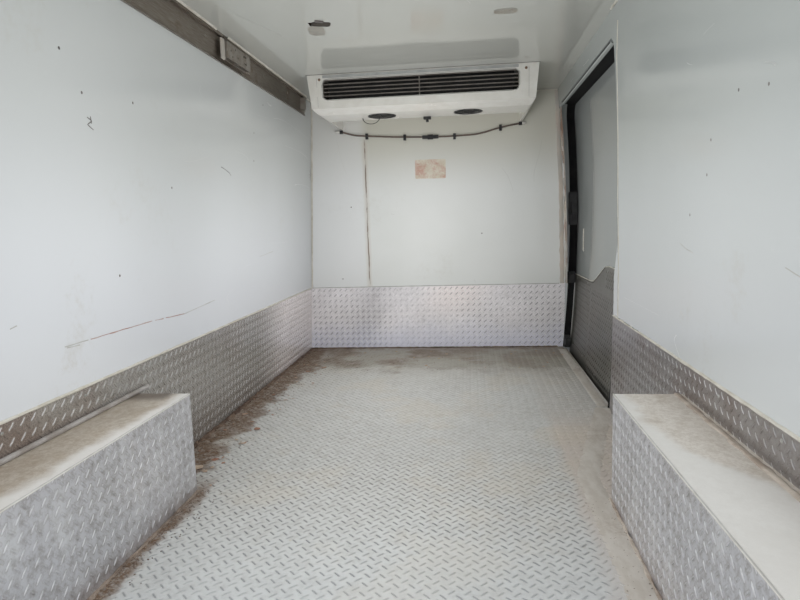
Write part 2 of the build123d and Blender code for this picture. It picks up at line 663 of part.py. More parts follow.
def side_mouldings():
    """Arch mouldings, and rubbing strips along both sides and across the side door."""
    z_span = (FLOOR_Z + STRIP_LOW, FLOOR_Z + STRIP_LOW + STRIP_HEIGHT)
    band = skin_band(STRIP_PROUD, 0, *z_span)
    door_back = FRONT_Y - DOOR_REAR_FOOT
    left = run(band & half_plane(-1), REAR_Y + DOOR_GAP, FRONT_Y)
    rear = run(band & half_plane(1), REAR_Y + DOOR_GAP, door_back - DOOR_REBATE - 4 * DOOR_GAP)
    door = run(band & half_plane(1), door_back, FRONT_Y)
    return group([left, rear, door] + arch_lips())


def rear_frame():
    """Rear pillars, header and threshold in one portal round the doorway."""
    portal = outer_section() & pane((-FAR, FAR), (SILL_Z, CEILING_Z))
    portal -= pane((-REAR_HALF, REAR_HALF), (FLOOR_Z, FLOOR_Z + REAR_TOP), REAR_CORNER)
    beam_x = SILL_HALF - SILL_BEAM
    portal -= pane((-beam_x, beam_x), (0, RAIL_HEIGHT))
    return run(portal, TAIL_Y, REAR_Y)


def swing(piece, side):
    """Turns a rear door's piece from closed to where it stands."""
    pin = Pos(side * HINGE_X, HINGE_Y, 0)
    return pin * Rot(0, 0, side * REST_ANGLE) * Pos(-side * HINGE_X, -HINGE_Y, 0) * piece


def plug_face():
    """The right door's plug in x and z, clear of the doorway and of the other plug."""
    x_span = (LEAF_MIDDLE_GAP + PLUG_GAP / 2, REAR_HALF - PLUG_GAP)
    z_span = (FLOOR_Z + PLUG_GAP, FLOOR_Z + REAR_TOP - PLUG_GAP)
    return pane(x_span, z_span, REAR_CORNER - PLUG_GAP)


def rear_leaf():
    """The right rear door, closed: pressed outer leaf and tapered plug."""
    outline = offset(outer_section(), -LEAF_INSET)
    outline &= pane((LEAF_MIDDLE_GAP, LEAF_EDGE_X), (FLOOR_Z - LEAF_FOOT, CEILING_Z - LEAF_HEAD))
    leaf = run(outline, LEAF_BACK_Y, LEAF_FRONT_Y)
    x_span = (LEAF_MIDDLE_GAP + PRESSING_MARGIN, LEAF_EDGE_X - PRESSING_MARGIN)
    upper = pane(x_span, (FLOOR_Z + PRESSING_LOW, FLOOR_Z + PRESSING_HIGH), PRESSING_CORNER)
    plate = pane((x_span[0], x_span[1] - PRESSING_MARGIN), LAMP_SPAN, PRESSING_CORNER / 3)
    leaf -= run(upper + plate, LEAF_BACK_Y, LEAF_BACK_Y + PRESSING_DEPTH)
    plug = extrude(at_y(LEAF_FRONT_Y) * plug_face(), -PLUG_DEPTH, taper=PLUG_TAPER)
    return leaf + plug


def door_hinges():
    """Straps and end knuckles on the right rear door, closed."""
    straps = []
    half = KNUCKLE_LENGTH / 2
    for height in HINGE_HEIGHTS:
        z = FLOOR_Z + height
        strap = block((HINGE_X - STRAP_LENGTH, HINGE_X - LEAF_PIN_GAP), (HINGE_Y, LEAF_BACK_Y),
                      (z - STRAP_HEIGHT / 2, z + STRAP_HEIGHT / 2))
        for dz in (-KNUCKLE_LENGTH, KNUCKLE_LENGTH):
            low, high = z + dz - half + KNUCKLE_GAP / 2, z + dz + half - KNUCKLE_GAP / 2
            strap += block((HINGE_X - 2 * STRAP_HEIGHT, HINGE_X), (HINGE_Y, LEAF_BACK_Y), (low, high))
            strap += Pos(HINGE_X, HINGE_Y, z + dz) * Cylinder(KNUCKLE_RADIUS, high - low)
        bore = Pos(HINGE_X, HINGE_Y, z) * Cylinder(PIN_RADIUS + PIN_CLEARANCE, 4 * KNUCKLE_LENGTH)
        straps.append(strap - bore)
    return group(straps)


def frame_hinges():
    """Body-side hinge plates, arms, knuckles and pins, on both rear pillars."""
    hinges = []
    half = KNUCKLE_LENGTH / 2 - KNUCKLE_GAP / 2
    for height in HINGE_HEIGHTS:
        z = FLOOR_Z + height
        plate = block((HINGE_X - STRAP, HINGE_X + PIN_RADIUS * 2), (TAIL_Y - STRAP, TAIL_Y),
                      (z - STRAP_HEIGHT, z + STRAP_HEIGHT))
        arm = block((HINGE_X - PIN_RADIUS, HINGE_X + PIN_RADIUS), (HINGE_Y, TAIL_Y), (z - half, z + half))
        knuckle = Pos(HINGE_X, HINGE_Y, z) * Cylinder(KNUCKLE_RADIUS, 2 * half)
        pin = Pos(HINGE_X, HINGE_Y, z) * Cylinder(PIN_RADIUS, 3 * KNUCKLE_LENGTH)
        hinge = plate + arm + knuckle + pin
        hinges += [hinge, mirror(hinge, Plane.YZ)]
    return group(hinges)


def plug_seal():
    """Rubber seal on the right rear door round its plug, closed."""
    reach = PLUG_GAP + LEAF_STANDOFF
    outer = pane((LEAF_MIDDLE_GAP + PIN_RADIUS / 2, REAR_HALF + reach / 2),
                 (FLOOR_Z - reach / 4, FLOOR_Z + REAR_TOP + reach / 2), REAR_CORNER)
    return run(outer - plug_face(), LEAF_FRONT_Y, LEAF_FRONT_Y + LEAF_STANDOFF - PLUG_SEAL_GAP)


def door_handle():
    """Bezel and grip on the right rear door's skin, closed."""
    x_mid, z_mid = LEAF_MIDDLE_GAP + PRESSING_MARGIN / 2, FLOOR_Z + PRESSING_LOW - HANDLE_HEIGHT
    bezel = Pos(x_mid, z_mid) * RectangleRounded(HANDLE_HEIGHT * 2.2, HANDLE_LENGTH / 2, HANDLE_HEIGHT / 3)
    grip = Pos(x_mid, z_mid) * RectangleRounded(HANDLE_HEIGHT / 1.5, HANDLE_LENGTH / 2, HANDLE_HEIGHT / 5)
    plate = run(bezel, LEAF_BACK_Y - HANDLE_PROUD / 4, LEAF_BACK_Y)
    return plate + run(grip, LEAF_BACK_Y - HANDLE_PROUD, LEAF_BACK_Y)


def lock_bars():
    """Inner release rods and lever on the left rear door's plug, drawn on the right."""
    face_y = LEAF_FRONT_Y + PLUG_DEPTH
    x_mid = LEAF_MIDDLE_GAP + PRESSING_MARGIN / 2
    z_mid = FLOOR_Z + REAR_TOP / 2
    rod_y = (face_y + ROD / 4, face_y + ROD * 3 / 4)
    rod_z = (FLOOR_Z + 2 * REAR_CORNER, FLOOR_Z + REAR_TOP - 2 * REAR_CORNER)
    bars = block((x_mid - ROD / 4, x_mid + ROD / 4), rod_y, rod_z)
    lever = pane((x_mid - ROD * 3 / 4, x_mid + ROD * 3 / 4),
                 (z_mid - HANDLE_LENGTH / 2, z_mid + HANDLE_LENGTH / 2), ROD / 2)
    bars += run(lever, face_y + ROD / 2, face_y + 2 * ROD)
    for share in (0.08, 0.36, 0.64, 0.92):
        z = FLOOR_Z + REAR_TOP * share
        bars += block((x_mid - ROD, x_mid + ROD), (face_y, face_y + ROD), (z - ROD, z + ROD))
    return bars


def bumper():
    """Rear step bumper: a folded tread with grip grooves."""
    half = SILL_HALF - STRIP_PROUD
    profile = pane((-half, half), (SILL_Z - STRIP_PROUD, BUMPER_TOP), BUMPER_WALL)
    step = run(profile, TAIL_Y - BUMPER_DEPTH, TAIL_Y)
    hollow = pane((-half + BUMPER_WALL, half - BUMPER_WALL), (-FAR, BUMPER_TOP - BUMPER_WALL))
    step -= run(hollow, TAIL_Y - BUMPER_DEPTH + BUMPER_WALL, TAIL_Y - BUMPER_WALL)
    groove = BUMPER_WALL / 2
    for i in range(4):
        y = TAIL_Y - BUMPER_DEPTH + BUMPER_WALL + i * 3 * groove
        step -= block((-half / 2, half / 2), (y, y + groove), (BUMPER_TOP - groove / 3, FAR))
    return step


def tail_lamps():
    """Upright lamp clusters on both rear pillars."""
    x_span = (HINGE_X + LEAF_PIN_GAP * 1.7, WAIST_HALF - LEAF_PIN_GAP)
    z_span = (FLOOR_Z + LAMP_SPAN[0], FLOOR_Z + LAMP_SPAN[1])
    lamp = run(pane(x_span, z_span, LAMP_DEPTH / 3), TAIL_Y - LAMP_DEPTH, TAIL_Y)
    return group([lamp, mirror(lamp, Plane.YZ)])


def evaporator_outline(rise=0.0):
    """The housing in y and z: upright face and belly, open by a rise behind the belly."""
    points = [(EVAP_FACE_Y, CEILING_Z), (EVAP_FACE_Y + EVAP_LEAN, CEILING_Z - EVAP_LIP),
              (EVAP_FACE_Y + EVAP_SLOPE, BELLY_Z)]
    if rise:
        points += [(BELLY_REAR_Y, BELLY_Z), (BELLY_REAR_Y, BELLY_Z + rise)]
    points += [(FRONT_Y, BELLY_Z + rise), (FRONT_Y, CEILING_Z)]
    return make_face(Polyline(*points, close=True))


def evaporator_ends():
    """The housing in x and z: sides that draw in to rounded lower corners."""
    foot = EVAP_HALF - EVAP_TAPER
    route = FilletPolyline((-EVAP_HALF, CEILING_Z), (-foot, BELLY_Z), (foot, BELLY_Z), (EVAP_HALF, CEILING_Z),
                           radius=EVAP_CORNER)
    top = Line(route @ 1, route @ 0)
    return make_face([*route.edges(), *top.edges()])


def grille_mouth():
    """The mouth in the housing's face, in x and z."""
    z_top = CEILING_Z - GRILLE_TOP
    return pane((-GRILLE_LEFT, GRILLE_RIGHT), (z_top - GRILLE_HEIGHT, z_top), GRILLE_CORNER)


def evaporator_housing():
    """White moulded housing, hollow, with a grille mouth, two fan holes and an open rear."""
    shell = across(evaporator_outline(), -EVAP_HALF, EVAP_HALF)
    shell &= run(evaporator_ends(), EVAP_FACE_Y, FRONT_Y)
    x_span = (-EVAP_INNER_HALF, EVAP_INNER_HALF)
    shell -= block(x_span, (BELLY_REAR_Y, FRONT_Y), (0, BELLY_Z + EVAP_RECESS))
    hollow = offset(evaporator_outline(EVAP_RECESS), -EVAP_WALL, kind=Kind.INTERSECTION)
    shell -= across(hollow, -EVAP_INNER_HALF, EVAP_INNER_HALF)
    shell -= run(grille_mouth(), EVAP_FACE_Y - EVAP_WALL, EVAP_FACE_Y + COIL_SET)
    for x in (-FAN_X, FAN_X):
        shell -= Pos(x, FAN_Y, BELLY_Z) * Cylinder(FAN_HOLE, 4 * EVAP_WALL)
    return shell


def evaporator_grille():
    """Slats and middle post behind the housing's mouth, in a thin frame."""
    mouth = grille_mouth()
    z_low = CEILING_Z - GRILLE_TOP - GRILLE_HEIGHT
    face = offset(mouth, EVAP_WALL - 0.3) - offset(mouth, -EVAP_WALL / 3)
    pitch = GRILLE_HEIGHT / (SLAT_COUNT + 1)
    for i in range(SLAT_COUNT):
        z = z_low + pitch * (i + 1)
        face += pane((-GRILLE_LEFT, GRILLE_RIGHT), (z - SLAT / 2, z + SLAT / 2))
    post_x = (GRILLE_RIGHT - GRILLE_LEFT) / 2
    face += pane((post_x - SLAT / 2, post_x + SLAT / 2), (z_low, z_low + GRILLE_HEIGHT))
    return run(face, GRILLE_Y, GRILLE_Y + GRILLE_DEPTH)


def coil_block():
    """Finned coil behind the grille, one plain block hung from the ceiling."""
    x_span = (-GRILLE_LEFT + COIL_MARGIN, GRILLE_RIGHT - COIL_MARGIN)
    y_span = (EVAP_FACE_Y + COIL_SET, EVAP_FACE_Y + COIL_SET + COIL_DEPTH)
    return block(x_span, y_span, (BELLY_Z + 2 * COIL_MARGIN, CEILING_Z - EVAP_WALL))


def fan_rotor(x):
    """Axial rotor: hub and pitched blades, on an upright shaft."""
    reach = FAN_RADIUS - HUB_RADIUS / 2
    blade = Rot(BLADE_PITCH, 0, 0) * Box(reach, BLADE_WIDTH, HUB_HEIGHT / 10)
    blade = Pos(HUB_RADIUS / 2 + reach / 2, 0, 0) * blade
    rotor = Cylinder(HUB_RADIUS, HUB_HEIGHT)
    for i in range(BLADE_COUNT):
        rotor += Rot(0, 0, 360 / BLADE_COUNT * i) * blade
    return Pos(x, FAN_Y, BELLY_Z + ROTOR_RISE) * rotor


def fan_mounts():
    """Wire guards over the fan holes, and the motors that carry the rotors."""
    pieces = []
    ring = Cylinder(FAN_HOLE + 2 * GUARD_WIRE, GUARD_WIRE) - Cylinder(FAN_HOLE - GUARD_WIRE, GUARD_WIRE)
    for offset_share in (-0.5, 0, 0.5):
        reach = 2 * FAN_HOLE * math.sqrt(1 - offset_share ** 2)
        ring += Pos(0, offset_share * FAN_HOLE, 0) * Box(reach, GUARD_WIRE, GUARD_WIRE)
    ring += Box(GUARD_WIRE, 2 * FAN_HOLE, GUARD_WIRE)
    motor_low = BELLY_Z + ROTOR_RISE + HUB_HEIGHT / 2 + PIN_CLEARANCE
    height = CEILING_Z - EVAP_WALL - motor_low
    for x in (-FAN_X, FAN_X):
        pieces.append(Pos(x, FAN_Y, BELLY_Z - GUARD_WIRE / 2) * ring)
        pieces.append(Pos(x, FAN_Y, motor_low + height / 2) * Cylinder(MOTOR_RADIUS, height))
    return group(pieces)


# x of the drain hose along the bulkhead, and how far it hangs below the belly
HOSE_ROUTE = ((-556, 10), (-480, 34), (-230, 55), (60, 67), (300, 61), (430, 26), (548, 8))
CLIP_X = (-400, -160, 150, 432)


def hose_tube():
    """The hose along its runs, joined by large arcs."""
    points = [(x, HOSE_Y, BELLY_Z - drop) for x, drop in HOSE_ROUTE]
    radii = []
    for a, b, c in zip(points, points[1:], points[2:]):
        first, second = Vector(*b) - Vector(*a), Vector(*c) - Vector(*b)
        turn = math.radians(first.get_angle(second))
        radii.append(0.4 * min(first.length, second.length) / math.tan(turn / 2))
    path = FilletPolyline(*points, radius=radii)
    start = Plane(origin=path @ 0, z_dir=path % 0)
    return sweep(start * Circle(HOSE_RADIUS), path=path)


def hose_height(x):
    """Height of the hose's line at x, between two points of its route."""
    for (x0, drop0), (x1, drop1) in zip(HOSE_ROUTE, HOSE_ROUTE[1:]):
        if x0 <= x <= x1:
            return BELLY_Z - drop0 - (drop1 - drop0) * (x - x0) / (x1 - x0)
    raise ValueError(x)


def hose_slot(x_span, z, room):
    """The slot that a fitting leaves for the hose, tight against its outer side."""
    y_span = (HOSE_Y - HOSE_RADIUS - HOSE_FIT, HOSE_Y + HOSE_RADIUS + HOSE_FIT)
    return block(x_span, y_span, (z - room, z + room))


def hose_clips():
    """Saddle clips that hold the hose to the bulkhead, and the joint's collars and body."""
    clips = []
    front = FRONT_Y - 2 * HOSE_OFF_WALL
    for x in CLIP_X:
        z = hose_height(x)
        x_span = (x - CLIP_WIDTH / 2, x + CLIP_WIDTH / 2)
        saddle = block(x_span, (front, FRONT_Y), (z - 4 * HOSE_RADIUS, z + 3 * HOSE_RADIUS))
        clips.append(saddle - hose_slot(x_span, z, 2 * HOSE_RADIUS))
    z = hose_height(0)
    # half length and half height of the joint's collars and body
    for half_length, half_height in ((TEE_LENGTH / 2, 2.0), (TEE_LENGTH / 6, 2.8)):
        x_span = (-half_length, half_length)
        height = half_height * HOSE_RADIUS
        body = block(x_span, (front, FRONT_Y), (z - height, z + height))
        clips.append(body)
    joint = clips.pop() + clips.pop()
    clips.append(joint - hose_slot((-TEE_LENGTH, TEE_LENGTH), z, 1.6 * HOSE_RADIUS))
    return clips


def hose_ends():
    """Elbows under the housing where the hose starts and ends, and the cable plug."""
    ends = []
    for x, drop in (HOSE_ROUTE[0], HOSE_ROUTE[-1]):
        reach = HOSE_RADIUS if x < 0 else -HOSE_RADIUS
        z = BELLY_Z - drop
        elbow = block(sorted((x + reach, x - 3 * reach)), (FRONT_Y - 2 * HOSE_OFF_WALL, FRONT_Y),
                      (z - 2 * HOSE_RADIUS, BELLY_Z))
        ends.append(elbow - hose_slot(sorted((x + reach, x - reach)), z, 1.3 * HOSE_RADIUS))
    y_span = (BELLY_REAR_Y - PLUG_SIZE, BELLY_REAR_Y)
    plug = block((-PLUG_SIZE / 2, PLUG_SIZE), y_span, (BELLY_Z - PLUG_SIZE / 2, BELLY_Z))
    ends.append(plug + block((0, PLUG_SIZE / 2), y_span, (BELLY_Z - PLUG_SIZE, BELLY_Z)))
    return ends


def track():
    """Folded steel band along the top of the left wall, in two lengths."""
    top, low = CEILING_Z, CEILING_Z - TRACK_HEIGHT
    # how far each point stands off the lining, and its height
    corners = ((0, top), (TRACK_DEPTH, top), (TRACK_DEPTH, top - TRACK_LIP), (TRACK_WALL, top - TRACK_LIP),
               (TRACK_WALL, low + TRACK_LIP), (TRACK_DEPTH / 2, low), (0, low))
    section = Polyline(*[(left_wall_x(z) + off, z) for off, z in corners], close=True)
    joint_y = FRONT_Y - TRACK_JOINT
    rear = run(make_face(section), REAR_Y, joint_y - TRACK_JOINT_GAP)
    return group([rear, run(make_face(section), joint_y, FRONT_Y - TRACK_FRONT)])


def bracket(y_from, y_to, slots):
    """A folded bracket on the track: end flange, slotted plate and back pad."""
    z_mid = CEILING_Z - TRACK_HEIGHT / 2
    z_span = (z_mid - BRACKET_HEIGHT / 2, z_mid + BRACKET_HEIGHT / 2)
    wall_x = left_wall_x(z_mid) + TRACK_WALL
    face_x = (wall_x + BRACKET_OFF_WALL - BRACKET_SHEET, wall_x + BRACKET_OFF_WALL)
    section = inside_section(*z_span)
    pad = (Pos(TRACK_WALL, 0) * section) - Pos(TRACK_WALL + 1.5 * BRACKET_SHEET, 0) * section
    pad &= section
    plate = block(face_x, (y_from, y_to), z_span)
    for share in slots:
        y = y_from + (y_to - y_from) * share
        for z in (z_mid - BRACKET_HEIGHT / 5, z_mid + BRACKET_HEIGHT / 4):
            slot = Box(4 * BRACKET_SHEET, BRACKET_HEIGHT / 2, BRACKET_HEIGHT / 9)
            plate -= Pos(sum(face_x) / 2, y, z) * slot
    flange = block((wall_x + BRACKET_SHEET, face_x[1]), (y_from, y_from + BRACKET_SHEET), z_span)
    boss = block((wall_x + BRACKET_SHEET, face_x[1]), (y_to - BRACKET_SHEET, y_to), z_span)
    return plate + flange + boss + run(pad, y_from, y_to + BRACKET_HEIGHT)


def track_brackets():
    """The slotted bracket at the track's joint and the small one at its front end."""
    joint_y = FRONT_Y - TRACK_JOINT
    first = bracket(joint_y, joint_y + 4 * BRACKET_HEIGHT, (0.78,))
    end_y = FRONT_Y - TRACK_FRONT - BRACKET_HEIGHT
    return group([first, bracket(end_y - BRACKET_HEIGHT / 2, end_y, ())])


def parts_table():
    """Each node's name and its solid."""
    rear, sill, header, pillar = right_pieces()
    leaf, straps, seal = rear_leaf(), door_hinges(), plug_seal()
    return {
        "chassis_rails": chassis_rails(),
        "cross_members": cross_members(),
        "outriggers": outriggers(),
        "floor_board": floor_board(),
        "floor_plate": floor_plate(),
        "left_side": side_wall(-1),
        "right_rear_side": rear,
        "right_sill": sill,
        "right_header": header,
        "right_pillar": pillar,
        "roof": roof(),
        "bulkhead_left": bulkhead(-FAR, BULKHEAD_SEAM_X),
        "bulkhead_right": bulkhead(BULKHEAD_SEAM_X, FAR),
        "kick_left": kick_plate(-1),
        "kick_right": kick_plate(1),
        "kick_bulkhead": kick_bulkhead(),
        "wheel_box_left": wheel_box(-1),
        "wheel_box_right": wheel_box(1),
        "wheel_box_bar": wall_bar(),
        "wheel_tub_left": wheel_tub(-1),
        "wheel_tub_right": wheel_tub(1),
        "side_mouldings": side_mouldings(),
        "side_door": side_door(),
        "side_door_kick": door_kick(),
        "side_door_seal": door_seal(),
        "side_door_well": door_well(),
        "side_door_catches": door_catches(),
        "side_door_rail": door_rail(),
        "side_door_grip": door_grip(),
        "rear_frame": rear_frame(),
        "rear_door_left": swing(mirror(leaf, Plane.YZ), -1),
        "rear_door_right": swing(leaf, 1),
        "door_hinges_left": swing(mirror(straps, Plane.YZ), -1),
        "door_hinges_right": swing(straps, 1),
        "frame_hinges": frame_hinges(),
        "plug_seal_left": swing(mirror(seal, Plane.YZ), -1),
        "plug_seal_right": swing(seal, 1),
        "door_handle_right": swing(door_handle(), 1),
        "lock_bars_left": swing(mirror(lock_bars(), Plane.YZ), -1),
        "rear_bumper": bumper(),
        "tail_lamps": tail_lamps(),
        "evaporator_housing": evaporator_housing(),
        "evaporator_grille": evaporator_grille(),
        "evaporator_coil": coil_block(),
        "fan_left": fan_rotor(-FAN_X),
        "fan_right": fan_rotor(FAN_X),
        "fan_mounts": fan_mounts(),
        "drain_hose": hose_tube(),
        "hose_clips": group(hose_clips() + hose_ends()),
        "wall_track": track(),
        "track_brackets": track_brackets(),
    }


os.makedirs("parts", exist_ok=True)
for node, solid in parts_table().items():
    export_step(solid, f"parts/{node}.step")
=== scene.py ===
"""Looks of a refrigerated van load compartment: linings, tread plate, seals, evaporator and paint."""
import logging
import math
import random
from collections.abc import Callable, Iterable, Sequence
from dataclasses import dataclass, field
from enum import Enum
from typing import Any

import bmesh
import bpy
from mathutils import Matrix, Vector, noise


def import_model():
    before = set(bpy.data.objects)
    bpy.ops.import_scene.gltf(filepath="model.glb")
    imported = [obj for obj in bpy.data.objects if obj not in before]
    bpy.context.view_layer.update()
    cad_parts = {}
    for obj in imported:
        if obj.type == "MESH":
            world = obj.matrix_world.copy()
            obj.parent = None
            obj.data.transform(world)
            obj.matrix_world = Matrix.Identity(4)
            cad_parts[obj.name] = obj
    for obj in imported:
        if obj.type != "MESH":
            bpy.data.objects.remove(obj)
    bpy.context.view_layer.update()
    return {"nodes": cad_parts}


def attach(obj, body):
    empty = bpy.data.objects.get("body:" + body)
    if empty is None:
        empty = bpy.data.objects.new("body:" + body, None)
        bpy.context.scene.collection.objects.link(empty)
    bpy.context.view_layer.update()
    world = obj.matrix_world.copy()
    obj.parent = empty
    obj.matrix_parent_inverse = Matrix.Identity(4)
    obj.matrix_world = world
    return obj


log = logging.getLogger("load_compartment")

Colour = tuple[float, float, float]
Place = tuple[float, float, float]
Mark = tuple[float, float]
Surface = Callable[[float, float, float], Place]
Socket = Any

BODY = "compartment"

# The compartment's own places, in metres
FRONT_Y = 1.725
REAR_Y = -1.725
FLOOR_Z = 0.190
CEILING_Z = 1.774
LEFT_FOOT = -0.825
LEFT_LEAN = 0.075 / 1.584
RIGHT_FOOT = 0.815
KICK_TOP_Z = FLOOR_Z + 0.403
SHEET = 0.003
BOX_HALF = 0.630
BOX_TOP_Z = 0.504
BOX_REAR_Y = -1.453
BOX_FRONT_Y = -0.453
HOUSING_LIP_Z = 1.757
HOUSING_LIP_Y = 1.025
HOUSING_RAKE = 0.0927
BELLY_Z = 1.590
DOOR_REAR_LOW = 1.318
JAMB_Y = 1.711
HEADER_Z = 1.666
TRACK_X = -0.734
BRACKET_X = -0.724
REAR_FRAME_Y = -1.815
LINING_EDGE_X = 0.88     # between a side wall's lining and its painted skin
DOOR_SPLIT_X = 0.905
REAR_DOOR_EDGE_X = 0.866
CEILING_SKIN_Z = 1.7765


class Side(Enum):
    """A side of the compartment, seen towards the cab."""

    LEFT = -1.0
    RIGHT = 1.0


class Axis(Enum):
    """One of the three Object coordinates, as a Separate XYZ node names it."""

    X = "X"
    Y = "Y"
    Z = "Z"


@dataclass(frozen=True)
class Bow:
    """A bowed wall in section: an arc that reaches furthest out at one height."""

    reach: float
    radius: float
    height: float

    def x(self, z: float) -> float:
        """Returns how far out the wall is at a height."""
        return self.reach - self.radius + math.sqrt(self.radius ** 2 - (z - self.height) ** 2)


RIGHT_BOW = Bow(0.8233, 13.216, 0.657)
DOOR_BOW = Bow(0.896, 8.35, 1.010)
SKIN_BOW = Bow(1.0103, 6.956, 0.633)


def left_wall_x(z: float) -> float:
    """Returns where the left lining's face is at a height."""
    return LEFT_FOOT + LEFT_LEAN * (z - FLOOR_Z)


class Faces:
    """The faces that pieces lie on. Each carries two places along it and a lift off it to a point."""

    @staticmethod
    def left(u: float, v: float, lift: float) -> Place:
        """The left lining, by length and height."""
        return left_wall_x(v) + lift, u, v

    @staticmethod
    def right(u: float, v: float, lift: float) -> Place:
        """The right lining behind the side door."""
        return RIGHT_BOW.x(v) - lift, u, v

    @staticmethod
    def door(u: float, v: float, lift: float) -> Place:
        """The side door's lining."""
        return DOOR_BOW.x(v) - lift, u, v

    @staticmethod
    def jamb(u: float, v: float, lift: float) -> Place:
        """The rear-facing side of the seal at the doorway's front, by distance from the door's lining and height."""
        return DOOR_BOW.x(v) - u, JAMB_Y - lift, v

    @staticmethod
    def bulkhead(u: float, v: float, lift: float) -> Place:
        """The bulkhead, by width and height."""
        return u, FRONT_Y - lift, v

    @staticmethod
    def floor(u: float, v: float, lift: float) -> Place:
        """The floor, by width and length."""
        return u, v, FLOOR_Z + lift

    @staticmethod
    def ceiling(u: float, v: float, lift: float) -> Place:
        """The ceiling, by width and length."""
        return u, v, CEILING_Z - lift

    @staticmethod
    def box_top(u: float, v: float, lift: float) -> Place:
        """The wheel boxes' tops, by width and length."""
        return u, v, BOX_TOP_Z + lift

    @staticmethod
    def box_front(u: float, v: float, lift: float) -> Place:
        """The wheel boxes' front ends, by width and height."""
        return u, BOX_FRONT_Y + lift, v

    @staticmethod
    def header(u: float, v: float, lift: float) -> Place:
        """The underside of the seal over the side doorway, by width and length."""
        return u, v, HEADER_Z - lift

    @staticmethod
    def track(u: float, v: float, lift: float) -> Place:
        """The inner face of the wall track, by length and height."""
        return TRACK_X + lift, u, v

    @staticmethod
    def bracket(u: float, v: float, lift: float) -> Place:
        """The inner face of the track's brackets, by length and height."""
        return BRACKET_X + lift, u, v

    @staticmethod
    def housing(u: float, v: float, lift: float) -> Place:
        """The evaporator's raked face, by width and height."""
        return u, HOUSING_LIP_Y + (HOUSING_LIP_Z - v) * HOUSING_RAKE - lift, v

    @staticmethod
    def left_skin(u: float, v: float, lift: float) -> Place:
        """The painted left side, by length and height."""
        return -SKIN_BOW.x(v) - lift, u, v

    @staticmethod
    def right_skin(u: float, v: float, lift: float) -> Place:
        """The painted right side, by length and height."""
        return SKIN_BOW.x(v) + lift, u, v

    @staticmethod
    def rear(u: float, v: float, lift: float) -> Place:
        """The rear frame's outer face, by width and height."""
        return u, REAR_FRAME_Y - lift, v


def on_sheet(surface: Surface) -> Surface:
    """Returns a face moved out by a kick plate's thickness.

    Args:
        surface: the face that the kick plate lies on.

    Returns:
        The same face, with its lifts taken from the plate.
    """
    def plate(u: float, v: float, lift: float) -> Place:
        """The kick plate's face."""
        return surface(u, v, SHEET + lift)
    return plate


